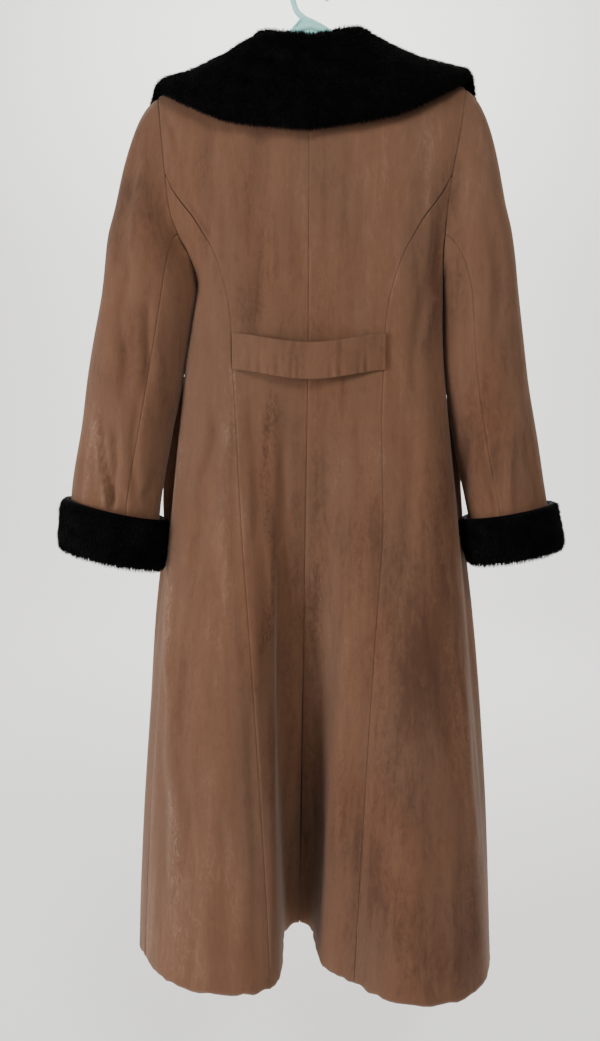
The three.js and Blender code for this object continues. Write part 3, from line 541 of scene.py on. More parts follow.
def centre_back(side, a, row):
    z = row_z(row)
    k = np.clip(row - UNDERARM_ROW, 0, TIP_LEVEL)
    edge = edge_z(side, k)
    x = a * np.where(k <= PRINCESS_LEVEL, PRINCESS(side, edge), ARMHOLE(side, k))
    level = mix(ARMHOLE("centre_z", k), edge, a)
    straight = mix(BACK_NECK_Z, top_z(side, TIP_HALF[side]), a)
    height = np.minimum(level + (k / TIP_LEVEL) ** 3 * (top_z(side, x) - straight), top_z(side, x))
    low = lower_point(side, a * princess_s(side, z), z)
    return by_row(row, low, stack(x, upper_y(side, x, height, -1), height))


def side_back(side, a, row):
    z = row_z(row)
    k = np.clip(row - UNDERARM_ROW, 0, PRINCESS_LEVEL)
    edge = edge_z(side, k)
    x = mix(PRINCESS(side, edge), ARMHOLE(side, k), a)
    low = lower_point(side, mix(princess_s(side, z), 1, a), z)
    return by_row(row, low, stack(x, upper_y(side, x, edge, -1), edge))


def lapped(side, p):
    if side == "left":
        return p
    near = ease((LAP_LIFT_FROM - p[..., 0]) / LAP_LIFT_EASE) * ease((LAP_LIFT_Z - p[..., 2]) / LAP_LIFT_EASE)
    return p + stack(0, LAP_LIFT * near, 0)


def front(side, a, row):
    z = row_z(row)
    k = np.clip(row - UNDERARM_ROW, 0, TIP_LEVEL)
    outer = armhole(side, k, 1)
    neck_x = NECKLINE("x", k)
    x = mix(outer[..., 0], neck_x, a)
    tilt = HANG_TILT * SIDES[side] * np.maximum(neck_x, 0) * k / TIP_LEVEL
    up = mix(outer[..., 2], NECKLINE("z", k) + tilt, a)
    low = lower_point(side, mix(1, LAP_S, a), z)
    return lapped(side, by_row(row, low, stack(x, upper_y(side, x, up, 1), up)))


def front_seam(side, row):
    """The share of the front's width, from the side, at which its princess seam lies."""
    low = (princess_s(side, row_z(row), "front") - 1) / (LAP_S - 1)
    k = np.clip(row - UNDERARM_ROW, 0, TIP_LEVEL)
    outer = ARMHOLE(side, k) - ARMHOLE("scoop", k)
    high = (outer - FRONT_PRINCESS(side, edge_z(side, k))) / (outer - NECKLINE("x", k))
    return np.where(row <= UNDERARM_ROW, low, np.where(k >= PRINCESS_LEVEL, 0, high))


def centre_front(side, a, row):
    return front(side, mix(front_seam(side, row), 1, a), row)


def side_front(side, a, row):
    return front(side, a * front_seam(side, row), row)


def sleeve_ring(side, turn, z, off=0):
    table = SLEEVE[side]
    dx = -(table("wide", z) + off) * np.cos(turn)
    dy = -(table("deep", z) + off) * np.sin(turn)
    return stack(table("x", z) + dx, table("y", z) + dy, z + table("slope", z) * dx)


def sleeve(side, column, row):
    """Column 0 is the underarm, 8 the shoulder tip, and 9 to 16 come down the front."""
    turn = column / SLEEVE_COLUMNS * 2 * math.pi
    below = sleeve_ring(side, turn, np.interp(row - CAP_ROWS, range(len(SLEEVE_ROWS)), SLEEVE_ROWS))
    back = armhole(side, np.clip(column, 0, TIP_LEVEL), -1)
    fore = armhole(side, np.clip(SLEEVE_COLUMNS - column, 0, TIP_LEVEL), 1)
    start = np.where((column <= TIP_LEVEL)[..., None], back, fore)
    end = sleeve_ring(side, turn, np.full_like(turn, SLEEVE_ROWS[0]))
    reach = np.linalg.norm(start - end, axis=-1) / CAP_REACH
    leave = start + stack(CAP_PUSH["out"] * reach, 0, -CAP_PUSH["down"] * reach)
    arrive = end + stack(-CAP_RISE["in"] * reach, 0, CAP_RISE["up"] * reach)
    t = np.clip(row / CAP_ROWS, 0, 1)[..., None]
    cap = (1 - t) ** 3 * start + 3 * t * (1 - t) ** 2 * leave + 3 * t * t * (1 - t) * arrive + t**3 * end
    return np.where((row >= CAP_ROWS)[..., None], below, cap)


def placed(side, p):
    return p * np.array([SIDES[side], 1, 1])


# ---------------------------------------------------------------- folds, seams and puckers
def unit(v):
    return v / np.maximum(np.linalg.norm(v, axis=-1, keepdims=True), 1e-9)


def grid_normals(points):
    across = np.gradient(points, axis=1)
    up = np.gradient(points, axis=0)
    return unit(np.cross(across, up))


CREASE_BOW = 0.45
CREASE_BOW_TURNS = 4.2
CREASE_SHOULDER = 0.55
CREASE_FULL = 0.32
CREASE_FADE = 0.17
STRIP_BOW = 0.5
STRIP_BOW_TURNS = 9
STRIP_FADE = 0.16


def beside_strip(points, x0, z0, x1, z1):
    """How far along a strip each point lies, as a share of its length, and how far beside it."""
    place = points[..., [0, 2]] - np.array([x0, z0])
    run = np.array([x1 - x0, z1 - z0])
    length = np.linalg.norm(run)
    return (place @ run) / length**2, (place @ np.array([-run[1], run[0]])) / length


def crease_depth(points, creases):
    """How far each point sinks under the creases: each has soft shoulders and fades at its ends."""
    total = np.zeros(points.shape[:-1])
    for x0, z0, x1, z1, depth, width in creases:
        along, off = beside_strip(points, x0, z0, x1, z1)
        bow = width * CREASE_BOW * np.sin(along * CREASE_BOW_TURNS + x0 * 0.1)
        q = ((off - bow) / width) ** 2
        fade = near(np.maximum(0, np.abs(along - 0.5) - CREASE_FULL), CREASE_FADE)
        total += depth * (1 - CREASE_SHOULDER * q) * np.exp(-q) * fade
    return total


def strip_tone(points, strips):
    """How much paler or darker the strips make each point; their edges wander and their ends fade."""
    total = np.zeros(points.shape[:-1])
    for x0, z0, x1, z1, width, tone in strips:
        along, off = beside_strip(points, x0, z0, x1, z1)
        off = off - width * STRIP_BOW * np.sin(along * STRIP_BOW_TURNS + z0 * 0.02)
        fade = ease((along + 0.06) / STRIP_FADE) * ease((1.06 - along) / STRIP_FADE)
        total += tone * near(off, width) * fade
    return total


DRAPE_WAVES = 9
DRAPE_RANGE = {"wave": (34, 110), "lean": (-0.16, 0.16), "slow": (240, 620)}


def drape(points, seed, height):
    """Broad uneven swells of the hanging cloth, the same each run."""
    chance = np.random.default_rng(seed)
    total = np.zeros(points.shape[:-1])
    for _ in range(DRAPE_WAVES):
        wave = chance.uniform(*DRAPE_RANGE["wave"])
        lean = chance.uniform(*DRAPE_RANGE["lean"])
        phase = chance.uniform(0, 2 * math.pi)
        slow = chance.uniform(*DRAPE_RANGE["slow"])
        turn = chance.uniform(0, 2 * math.pi)
        x = points[..., 0] + lean * points[..., 2] + 0.6 * points[..., 1]
        slowly = 0.6 + 0.4 * np.sin(2 * math.pi * points[..., 2] / slow + turn)
        total += np.sin(2 * math.pi * x / wave + phase) * slowly
    return height * total / math.sqrt(DRAPE_WAVES)


def arc(points, axis):
    steps = np.linalg.norm(np.diff(points, axis=axis), axis=-1)
    total = np.cumsum(steps, axis=axis)
    pad = [(0, 0), (0, 0)]
    pad[axis] = (1, 0)
    return np.pad(total, pad)


def edge_distances(points):
    across, up = arc(points, 1), arc(points, 0)
    return {"start": across, "end": across[:, -1:] - across, "bottom": up, "top": up[-1:] - up}


SEAM_DIP = {"depth": 0.6, "reach": 1.2}
EDGE_DIP = {"depth": 1.1, "reach": 1.5}
HEM_STITCH = {"depth": 0.35, "reach": 2.2}
HEM_TURN = 40
SEAM_PUCKER = {"reach": 8, "wave": 23, "height": 0.16}
HEM_PUCKER = {"reach": 26, "wave": 24, "height": 0.7}
HEM_WAVERS = (
    # the edge it is counted from, then its reach, wave and height
    ("start", 15, 39, 1.9),
    ("end", 11, 17, 0.8),
)
ARMHOLE_DIP = 0.3
ARMHOLE_FADE = 30
VALLEY_DIP = 0.2
VALLEY = {"top_z": -720, "fade": 150, "half": 46, "edge": 24}
SLEEVE_SOFT_Z = -310


def dip(distance, depth, reach):
    return -depth * near(distance, reach)


def pucker(distance, along, reach, wave, height):
    """Small uneven puckers along a sewn edge, fading away from it."""
    ripple = np.sin(2 * math.pi * along / wave + 1.9 * np.sin(along / 31))
    swell = 0.65 + 0.35 * np.sin(along / 53 + 1)
    return height * ripple * swell * near(distance, reach)


# ---------------------------------------------------------------- meshes
def in_scene(name, data):
    obj = bpy.data.objects.new(name, data)
    bpy.context.collection.objects.link(obj)
    return obj


def new_object(name, points, faces, material, attributes=None):
    mesh = bpy.data.meshes.new(name)
    flat = np.ascontiguousarray(np.reshape(points, (-1, 3)) * MM, dtype=np.float32)
    faces = np.asarray(faces, np.int32)
    count, corners = faces.shape
    mesh.vertices.add(len(flat))
    mesh.vertices.foreach_set("co", flat.ravel())
    mesh.loops.add(count * corners)
    mesh.loops.foreach_set("vertex_index", faces.ravel())
    mesh.polygons.add(count)
    mesh.polygons.foreach_set("loop_start", np.arange(count, dtype=np.int32) * corners)
    mesh.polygons.foreach_set("use_smooth", np.ones(count, bool))
    for key, values in (attributes or {}).items():
        layer = mesh.attributes.new(key, "FLOAT", "POINT")
        layer.data.foreach_set("value", np.ravel(values).astype(np.float32))
    mesh.update(calc_edges=True)
    mesh.validate()
    mesh.materials.append(material)
    return in_scene(name, mesh)


def grid_faces(rows, columns, flip=False, round_rows=False, round_columns=False):
    index = np.arange(rows * columns).reshape(rows, columns)
    if round_rows:
        index = np.concatenate([index, index[:1]], 0)
    if round_columns:
        index = np.concatenate([index, index[:, :1]], 1)
    quads = np.stack([index[:-1, :-1], index[:-1, 1:], index[1:, 1:], index[1:, :-1]], -1).reshape(-1, 4)
    return quads[:, ::-1] if flip else quads


def crowded(count, crowd=0.7):
    """Shares from 0 to 1 that crowd towards both ends, where the seams turn in."""
    t = np.linspace(0, 1, count)
    return t - crowd * np.sin(2 * math.pi * t) / (2 * math.pi)


def thicken(obj, thickness):
    wall = obj.modifiers.new("wall", "SOLIDIFY")
    wall.thickness = thickness * MM
    wall.offset = -1
    wall.use_rim = True


def belongs(obj, slot, *nodes):
    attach(obj, "root")
    if nodes:
        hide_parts(*nodes)


def wall_of_two(outer, inner):
    """Faces of a closed wall from two equal grids, the first outermost."""
    rows, columns = outer.shape[:2]
    layer = rows * columns
    front_faces = grid_faces(rows, columns)
    back_faces = grid_faces(rows, columns, flip=True) + layer
    index = np.arange(layer).reshape(rows, columns)
    rim = np.concatenate([index[0, :-1], index[:-1, -1], index[-1, :0:-1], index[:0:-1, 0]])
    following = np.roll(rim, -1)
    sides = np.stack([following, rim, rim + layer, following + layer], -1)
    return np.concatenate([front_faces, back_faces, sides])


# ---------------------------------------------------------------- materials
def arithmetic(operation, swapped=False):
    def act(self, other):
        return self.nodes.math(operation, *((other, self) if swapped else (self, other)))

    return act


class Value:
    """A node socket that plain arithmetic works on."""

    def __init__(self, nodes, socket):
        self.nodes = nodes
        self.socket = socket

    __add__ = arithmetic("ADD")
    __radd__ = arithmetic("ADD", swapped=True)
    __sub__ = arithmetic("SUBTRACT")
    __rsub__ = arithmetic("SUBTRACT", swapped=True)
    __mul__ = arithmetic("MULTIPLY")
    __rmul__ = arithmetic("MULTIPLY", swapped=True)


class Finish:
    """A material whose look is worked out from nodes."""

    def __init__(self, name):
        self.material = bpy.data.materials.new(name)
        self.material.use_nodes = True
        self.tree = self.material.node_tree
        self.surface = self.tree.nodes["Principled BSDF"]

    def give(self, socket, value):
        if isinstance(value, Value):
            self.tree.links.new(value.socket, socket)
        elif hasattr(socket.default_value, "__len__") and not hasattr(value, "__len__"):
            socket.default_value = (value,) * len(socket.default_value)
        elif hasattr(value, "__len__") and len(value) == 3 and len(socket.default_value) == 4:
            socket.default_value = (*value, 1)
        else:
            socket.default_value = value

    def add(self, kind, inputs=(), output=0, **settings):
        node = self.tree.nodes.new(kind)
        for key, value in settings.items():
            setattr(node, key, value)
        for key, value in dict(inputs).items():
            self.give(node.inputs[key], value)
        return Value(self, node.outputs[output])

    def math(self, operation, *values):
        return self.add("ShaderNodeMath", dict(enumerate(values)), operation=operation)

    def place(self, *scale):
        where = self.add("ShaderNodeTexCoord", output="Object")
        return self.add("ShaderNodeVectorMath", {0: where, 1: scale}, operation="MULTIPLY")

    def noise(self, scale, detail, distortion=0, rough=0.5):
        inputs = {"Vector": self.place(*scale), "Scale": 1, "Detail": detail}
        inputs.update({"Distortion": distortion, "Roughness": rough})
        return self.add("ShaderNodeTexNoise", inputs, "Fac")

    def smooth(self, value, low, high):
        inputs = {0: value, 1: low, 2: high, 3: 0, 4: 1}
        return self.add("ShaderNodeMapRange", inputs, interpolation_type="SMOOTHSTEP", clamp=True)

    def attribute(self, name):
        return self.add("ShaderNodeAttribute", output="Fac", attribute_name=name)

    def blend(self, share, first, second):
        inputs = {"Factor": share, 6: first, 7: second}
        return self.add("ShaderNodeMix", inputs, output=2, data_type="RGBA")

    def bump(self, height, distance, strength):
        inputs = {"Height": height, "Distance": distance, "Strength": strength}
        return self.add("ShaderNodeBump", inputs, "Normal")

    def set(self, **inputs):
        for key, value in inputs.items():
            self.give(self.surface.inputs[key.replace("_", " ")], value)
        return self.material


def peached_cloth():
    """Brown microfibre with a short nap that streaks and marbles along its length, with painted highlights
    and painted shade laid on from the panels' strips.
    """
    f = Finish("shell_cloth")
    nap = f.attribute("nap")
    broad = f.noise((7, 7, 2.2), 2)
    streak = f.noise((60, 60, 6), 3, rough=0.6)
    marble = f.noise((110, 110, 42), 4, distortion=1.1, rough=0.62)
    fleck = f.smooth(f.noise((260, 260, 105), 4, distortion=1.3, rough=0.6), 0.40, 0.68)
    fibre = f.noise((1500, 1500, 900), 2)
    tone = 0.5 + (broad - 0.5) * 0.6 + (streak - 0.5) * 0.62 + (marble - 0.5) * 0.5
    # The mesh attributes add the strips' tone: nap flecks with painted highlights on fold ridges and painted
    # shade in creases, and broad painted light and shade.
    tone = tone + nap * (0.10 + fleck * 0.32) + (fibre - 0.5) * 0.16 + f.attribute("shade") * 0.24
    warm = f.smooth(f.noise((12, 12, 4), 2), 0.36, 0.64)
    dark = f.blend(warm, (0.071, 0.034, 0.0200), (0.078, 0.034, 0.0190))
    middle = f.blend(warm, (0.127, 0.0650, 0.0385), (0.138, 0.0660, 0.0365))
    pale = f.blend(warm, (0.222, 0.132, 0.090), (0.240, 0.132, 0.085))
    low = f.blend(f.smooth(tone, 0.02, 0.56), dark, middle)
    colour = f.blend(f.smooth(tone, 0.5, 1.12), low, pale)
    relief = fibre * 0.25 + marble * 0.4 + streak * 0.2 + fleck * 0.1
    return f.set(
        Base_Color=colour,
        Roughness=0.88 - fleck * 0.06,
        Normal=f.bump(relief, 0.0009, 0.45),
        Sheen_Weight=0.16,
        Sheen_Roughness=0.5,
        Sheen_Tint=(1.0, 0.80, 0.68),
        Specular_IOR_Level=0.14,
    )


def black_fur():
    """Near black pile, with a painted highlight that makes the strand tips a little greyer."""
    f = Finish("faux_fur")
    tone = f.attribute("tone")
    lock = f.noise((48, 48, 34), 3, distortion=0.8)
    patch = f.smooth(f.noise((13, 13, 13), 2), 0.5, 0.72)
    grey = f.smooth(tone * 0.5 + lock * 0.55 + patch * 0.22, 0.45, 1.05)
    colour = f.blend(grey, (0.0016, 0.0014, 0.0014), (0.0150, 0.0125, 0.0122))
    matted = f.noise((420, 420, 260), 3, distortion=0.7)
    return f.set(
        Base_Color=colour,
        Roughness=0.78 - grey * 0.1,
        Normal=f.bump(matted * 0.6 + lock, 0.0016, 0.5),
        Sheen_Weight=0.012,
        Sheen_Roughness=0.45,
        Specular_IOR_Level=0.05,
    )


def aqua_plastic():
    """Moulded plastic, cloudy and faintly uneven from the mould."""
    f = Finish("hanger_plastic")
    cloud = f.noise((60, 60, 60), 3)
    colour = f.blend(f.smooth(cloud, 0.3, 0.7), (0.36, 0.80, 0.74), (0.46, 0.88, 0.83))
    grain = f.noise((900, 900, 900), 2)
    return f.set(
        Base_Color=colour,
        Roughness=0.3 + grain * 0.14,
        Normal=f.bump(cloud * 0.7 + grain * 0.1, 0.0006, 0.4),
        Coat_Weight=0.15,
        Coat_Roughness=0.25,
    )


def horn():
    """Polished dark horn with paler drifts."""
    f = Finish("button")
    drift = f.noise((90, 260, 160), 4, distortion=2.2)
    colour = f.blend(f.smooth(drift, 0.35, 0.72), (0.020, 0.011, 0.007), (0.145, 0.075, 0.038))
    return f.set(Base_Color=colour, Roughness=0.24 + drift * 0.16, Coat_Weight=0.3, Coat_Roughness=0.12)


def sewing_thread():
    f = Finish("thread")
    ply = f.noise((2600, 2600, 2600), 2)
    colour = f.blend(ply, (0.060, 0.034, 0.022), (0.150, 0.088, 0.058))
    return f.set(Base_Color=colour, Roughness=0.7 + ply * 0.15, Sheen_Weight=0.2)


CLOTH_FINISH = peached_cloth()
FUR_FINISH = black_fur()
PLASTIC_FINISH = aqua_plastic()
HORN_FINISH = horn()
THREAD_FINISH = sewing_thread()


# ---------------------------------------------------------------- cloth panels
ROW_PITCH = 4.8
ROWS_A_LEVEL = 7
COAT_SWELL = 1.0
DRAPE_SEED = 5
STRIP_TONE_IN_CREASES = 0.3
SEAM_RUB = {"tone": 0.22, "off": 2.4, "reach": 1.5}
TOP_SLEEVE_WIDTH = 0.24  # metres, below the curved head


def body_rows(last):
    """Rows a few millimetres apart, from the hem up to a level of the armhole."""
    low = np.linspace(HEM_Z, SKIRT_ROWS[-1], round((SKIRT_ROWS[-1] - HEM_Z) / ROW_PITCH))
    skirt = np.interp(low, SKIRT_ROWS, range(UNDERARM_ROW + 1))
    upper = np.linspace(UNDERARM_ROW, last, round((last - UNDERARM_ROW) * ROWS_A_LEVEL) + 1)
    return np.concatenate([skirt, upper[1:]])


def facing_back(normals):
    return ease((0.25 - normals[..., 1]) / 0.5)


def relief(points, normals, back_creases, front_creases, gain):
    back = facing_back(normals)
    creases = crease_depth(points, back_creases) * back + crease_depth(points, front_creases) * (1 - back)
    return drape(points, DRAPE_SEED, COAT_SWELL) - gain * creases


def in_valley(points):
    """Share of a place in the deep fold down the skirt's centre back."""
    low = ease((VALLEY["top_z"] - points[..., 2]) / VALLEY["fade"])
    inside = ease((VALLEY["half"] - np.abs(points[..., 0])) / VALLEY["edge"])
    return low * inside * (points[..., 1] < 0)


def flat_cut(smooth, width=None):
    """A panel's widest row, longest column and area in metres, read off its surface before it is
    creased. width is an estimate, given where the rows curve."""
    across, up = arc(smooth, 1), arc(smooth, 0)
    rising = smooth[1:, 1:] - smooth[:-1, :-1]
    falling = smooth[1:, :-1] - smooth[:-1, 1:]
    area = 0.5 * np.linalg.norm(np.cross(rising, falling), axis=-1).sum()
    widest = width or across[:, -1].max() * MM
    return round(float(widest), 2), round(float(up[-1].max() * MM), 2), round(float(area * MM**2), 3)


def finish_panel(name, base, raised, towards, edges, soft_z, cut_width=None):
    """A cloth panel: its surface, raised, with the seams and edges turned in."""
    normals = grid_normals(base) * towards
    soft = mix(1, ARMHOLE_DIP, ease((base[..., 2] - soft_z) / ARMHOLE_FADE))
    soft = soft * mix(1, VALLEY_DIP, in_valley(base))
    place = edge_distances(base)
    bottom, start = place["bottom"], place["start"]
    along = {"start": bottom, "end": bottom, "bottom": start, "top": start}
    for edge, kind in edges.items():
        if kind == "seam":
            raised = raised + dip(place[edge], **SEAM_DIP) * soft
            raised = raised + pucker(place[edge], along[edge], **SEAM_PUCKER)
        elif kind == "hem":
            raised = raised + dip(place[edge], **EDGE_DIP)
            raised = raised + pucker(place[edge], along[edge], **HEM_PUCKER)
            raised = raised + dip(place[edge] - HEM_TURN, **HEM_STITCH)
        elif kind == "edge":
            raised = raised + dip(place[edge], **EDGE_DIP)
    points = base + normals * raised[..., None]
    if edges["bottom"] == "hem":
        points[..., 2] += sum(pucker(bottom, place[edge], *size) for edge, *size in HEM_WAVERS)
    back = facing_back(normals)
    # Tone from the strips on the parts facing back: nap flecks with painted highlights and painted shade
    # along the folds, a little weaker where the cloth sinks into a crease, and broad painted light and shade.
    nap = strip_tone(base, NAP_AND_PAINTED_LIGHT_STRIPS) * back * (1 - np.clip(-raised, 0, 1) * STRIP_TONE_IN_CREASES)
    for edge, kind in edges.items():
        rub = SEAM_RUB["tone"] * near(place[edge] - SEAM_RUB["off"], SEAM_RUB["reach"])
        nap = nap + rub * soft * (kind != "hidden")
    looks = {"nap": nap, "shade": strip_tone(base, PAINTED_SHADING_STRIPS) * back}
    faces = grid_faces(*base.shape[:2], flip=towards < 0)
    obj = new_object("cloth_" + name, points, faces, CLOTH_FINISH, looks)
    thicken(obj, CLOTH)
    belongs(obj, "shell_cloth", name)
    width, length, area = flat_cut(base, cut_width)


CENTRE_TOP = UNDERARM_ROW + TIP_LEVEL
SIDE_TOP = UNDERARM_ROW + PRINCESS_LEVEL - 0.06
BODY_PANELS = (
    # piece, surface, columns, last row, kinds of its first and last column, where the armhole starts
    ("back", centre_back, 40, CENTRE_TOP, "seam", "seam", -330),
    ("side_back", side_back, 34, SIDE_TOP, "seam", "seam", -396),
    ("front", centre_front, 38, CENTRE_TOP, "seam", "edge", -280),
    ("side_front", side_front, 28, SIDE_TOP, "seam", "seam", -396),
)


def body_panel(side, piece, surface, columns, last, first_kind, last_kind, soft_z):
    a, row = np.meshgrid(crowded(columns), body_rows(last))
    base = placed(side, surface(side, a, row))
    towards = SIDES[side]
    raised = relief(base, grid_normals(base) * towards, BACK_CREASES, FRONT_CREASES, CREASE_GAIN["body"])
    edges = {"start": first_kind, "end": last_kind, "bottom": "hem", "top": "hidden"}
    finish_panel(f"{piece}_{side}", base, raised, towards, edges, soft_z)


# A sleeve panel runs round the arm between two columns: the top sleeve over the shoulder and the
# under sleeve beneath the arm.
SLEEVE_PANELS = (
    # piece, first and last column round the arm, columns in the mesh, width of its cut if estimated
    ("sleeve_top", 3, 13, 54, TOP_SLEEVE_WIDTH),
    ("sleeve_under", -3, 3, 32, None),
)
CAP_MESH_ROWS = 54
SLEEVE_MESH_ROWS = 74


def sleeve_panel(side, piece, start, end, columns, cut_width):
    cap = np.linspace(0, CAP_ROWS, CAP_MESH_ROWS)
    below = CAP_ROWS + np.linspace(0, len(SLEEVE_ROWS) - 1, SLEEVE_MESH_ROWS)
    turns = mix(start, end, crowded(columns))
    column, row = np.meshgrid(turns % SLEEVE_COLUMNS, np.concatenate([cap, below[1:]]))
    base = placed(side, sleeve(side, column, row))
    towards = -SIDES[side]
    creases = SLEEVE_BACK_CREASES, SLEEVE_FRONT_CREASES
    raised = relief(base, grid_normals(base) * towards, *creases, CREASE_GAIN["sleeve"])
    edges = {"start": "seam", "end": "seam", "bottom": "seam", "top": "hidden"}
    finish_panel(f"{piece}_{side}", base, raised, towards, edges, SLEEVE_SOFT_Z, cut_width)


for side in SIDES:
    for row in BODY_PANELS:
        body_panel(side, *row)
    for row in SLEEVE_PANELS:
        sleeve_panel(side, *row)


# ---------------------------------------------------------------- half belt
BELT_GRID = (132, 30)
BELT_STITCH = 4.2
BELT_EDGE_DIP = {"depth": 1.1, "reach": 1.6}
BELT_STITCH_DIP = {"depth": 0.6, "reach": 1.1}
BELT_GATHERS = ((-69, 13), (-45, 10), (-17, 8), (36, 11), (71, 9))  # place and reach
GATHER_RISE = 21


def half_belt():
    """A strip sewn into both princess seams, slack between them, with its lower edge gathered."""
    columns, rows = BELT_GRID
    a, up = np.meshgrid(np.linspace(0, 1, columns), crowded(rows, 0.6))
    slack = np.sin(math.pi * a)
    z = BELT_TOP_Z - BELT_DROP * slack**BELT_SAG_POWER - (1 - up) * BELT_WIDTH
    x = mix(*BELT_ENDS, a)
    depth = np.zeros_like(x)
    for side, sign in SIDES.items():
        half = TORSO(side, np.maximum(z, WAIST_Z))
        s = section_at(np.clip(np.abs(x) / half, 0, 1))
        depth = np.where(np.sign(x) == sign, lower_point(side, s, z)[..., 1], depth)
    base = stack(x, depth - BELT_GAP - CLOTH - BELT_STAND_OFF * slack**BELT_BOW_POWER, z)
    normals = grid_normals(base)
    place = edge_distances(base)
    raised = dip(place["bottom"], **BELT_EDGE_DIP) + dip(place["top"], **BELT_EDGE_DIP)
    for end in ("start", "end"):
        raised = raised + dip(place[end] - BELT_STITCH, **BELT_STITCH_DIP)
    for at, reach in BELT_GATHERS:
        ripple = np.cos((x - at) / reach * 5.2) * near(x - at, reach)
        raised = raised + ripple * near(place["bottom"], GATHER_RISE)
    raised = raised + 0.55 * np.sin(x / 17 + 0.4) * np.sin(math.pi * up) + 0.35 * np.sin(x / 7.3) * (1 - up)
    outer = base + normals * raised[..., None]
    inner = outer - normals * (CLOTH - 0.5)
    points = np.stack([outer, inner])
    edge = np.minimum(place["bottom"], place["top"])
    # Paler bands along the top and bottom edges, partly rubbed nap and partly a painted highlight where the
    # edge rolls over, and a slow paler and darker wave along the strip.
    nap = 0.25 * near(edge - 2.2, 1.4) + 0.25 * np.sin(x / 23)
    looks = {"nap": np.stack([nap, nap])}
    obj = new_object("belt_strip", points, wall_of_two(outer, inner), CLOTH_FINISH, looks)
    belongs(obj, "shell_cloth", "half_belt")


half_belt()


# ---------------------------------------------------------------- fur
PILE = 6.6
PILE_STAND = 2.9
PILE_WIDTH = 0.56
PILE_ROOT = 1.2
LOCK_TURN = 0.17
LOCK_SIZE = 21
TUFT_TURN = 0.08
TUFT_SIZE = 6
STRAY = 0.1
TIP_PAINTED_HIGHLIGHT = 0.25
SPIKE_TURNS = (0, 2.094, 4.189)
SWIRL_WAVES = 7


def swirl(points, scale, seed):
    """A slowly changing direction that parts the pile into locks."""
    chance = np.random.default_rng(seed)
    total = np.zeros_like(points)
    for _ in range(SWIRL_WAVES):
        wave = chance.normal(size=3)
        wave *= 2 * math.pi / (scale * chance.uniform(0.7, 1.9) * np.linalg.norm(wave))
        total += np.sin(points @ wave + chance.uniform(0, 7))[..., None] * chance.normal(size=3)
    return total / math.sqrt(SWIRL_WAVES)


def scatter(grids, faces, density, chance):
    """Places spread evenly over a grid's faces, with each grid's value there."""
    corners = [grid.reshape(-1, grid.shape[-1])[faces] for grid in grids]
    points = corners[0]
    area = 0.5 * np.linalg.norm(np.cross(points[:, 2] - points[:, 0], points[:, 3] - points[:, 1]), axis=-1)
    face = np.repeat(np.arange(len(faces)), np.floor(area * density + chance.random(len(faces))).astype(int))
    u, v = chance.random((2, len(face), 1))
    weights = [(1 - u) * (1 - v), u * (1 - v), u * v, (1 - u) * v]
    return [sum(c[face, i] * weights[i] for i in range(4)) for c in corners]


def pile(name, roots, normals, comb, chance, painted_sheen=0.0):
    """Strands, each a slim closed spike, lying along the comb and standing off it a little."""
    count = len(roots)
    lean = PILE_STAND / PILE
    way = unit(comb) * math.sqrt(1 - lean**2) + unit(normals) * lean
    way = way + LOCK_TURN * swirl(roots, LOCK_SIZE, 11) + TUFT_TURN * swirl(roots, TUFT_SIZE, 12)
    way = unit(way + chance.normal(size=roots.shape) * STRAY)
    length = PILE * (0.72 + 0.5 * chance.random((count, 1)))
    aside = unit(np.cross(way, unit(normals) + 0.01))
    other = np.cross(way, aside)
    foot = roots - unit(normals) * PILE_ROOT
    width = PILE_WIDTH * (0.75 + 0.5 * chance.random((count, 1)))
    base = [foot + width * (math.cos(t) * aside + math.sin(t) * other) for t in SPIKE_TURNS]
    points = np.stack([*base, roots + way * length], 1)
    first = np.arange(count)[:, None] * 4
    spike = np.array([[0, 1, 3], [1, 2, 3], [2, 0, 3], [0, 2, 1]])
    faces = (first[:, :, None] + spike[None]).reshape(-1, 3)
    # Each strand's tone: a random share, plus any painted sheen, and a painted highlight at its tip.
    tone = np.repeat(chance.random(count) ** 2 * 0.8 + painted_sheen, 4)
    tone[3::4] += TIP_PAINTED_HIGHLIGHT
    obj = new_object(name, points, faces, FUR_FINISH, {"tone": tone})
    belongs(obj, "faux_fur")
    return obj


COLLAR_GRID = (190, 40)
COLLAR_REACH = 7
COLLAR_END = {"thick": 0.35, "gain": 2.6}
COLLAR_THICK = (
    (0, 0.3), (0.08, 0.7), (0.15, 0.9), (0.22, 1), (0.3, 1),
    (0.45, 0.9), (0.6, 0.82), (0.75, 0.85), (0.88, 0.9), (0.96, 0.8), (1, 0.35),
)
COLLAR_INSET = 0.965
COLLAR_LINING = 1.2
FUR_DENSITY = 0.5
FRINGE_DENSITY = 3
COLLAR_SEED = 31


def collar_surface(along, across):
    at = np.abs(along)
    side = np.where(along < 0, -1, 1)[:, None]
    axes = []
    for axis in "xyz":
        parts = [(COLLAR if part in "nrf" else COLLAR_FALL)(part + axis, at) for _, part in COLLAR_LINES]
        keys = np.array([line for line, _ in COLLAR_LINES])
        axes.append(cubic(keys, np.stack(parts, -1), across))
    spread = np.where(side > 0, 1 + COLLAR_SPREAD * across, 1)
    x = side * spread * axes[0]
    return stack(x, axes[1], axes[2] + HANG_TILT * x)


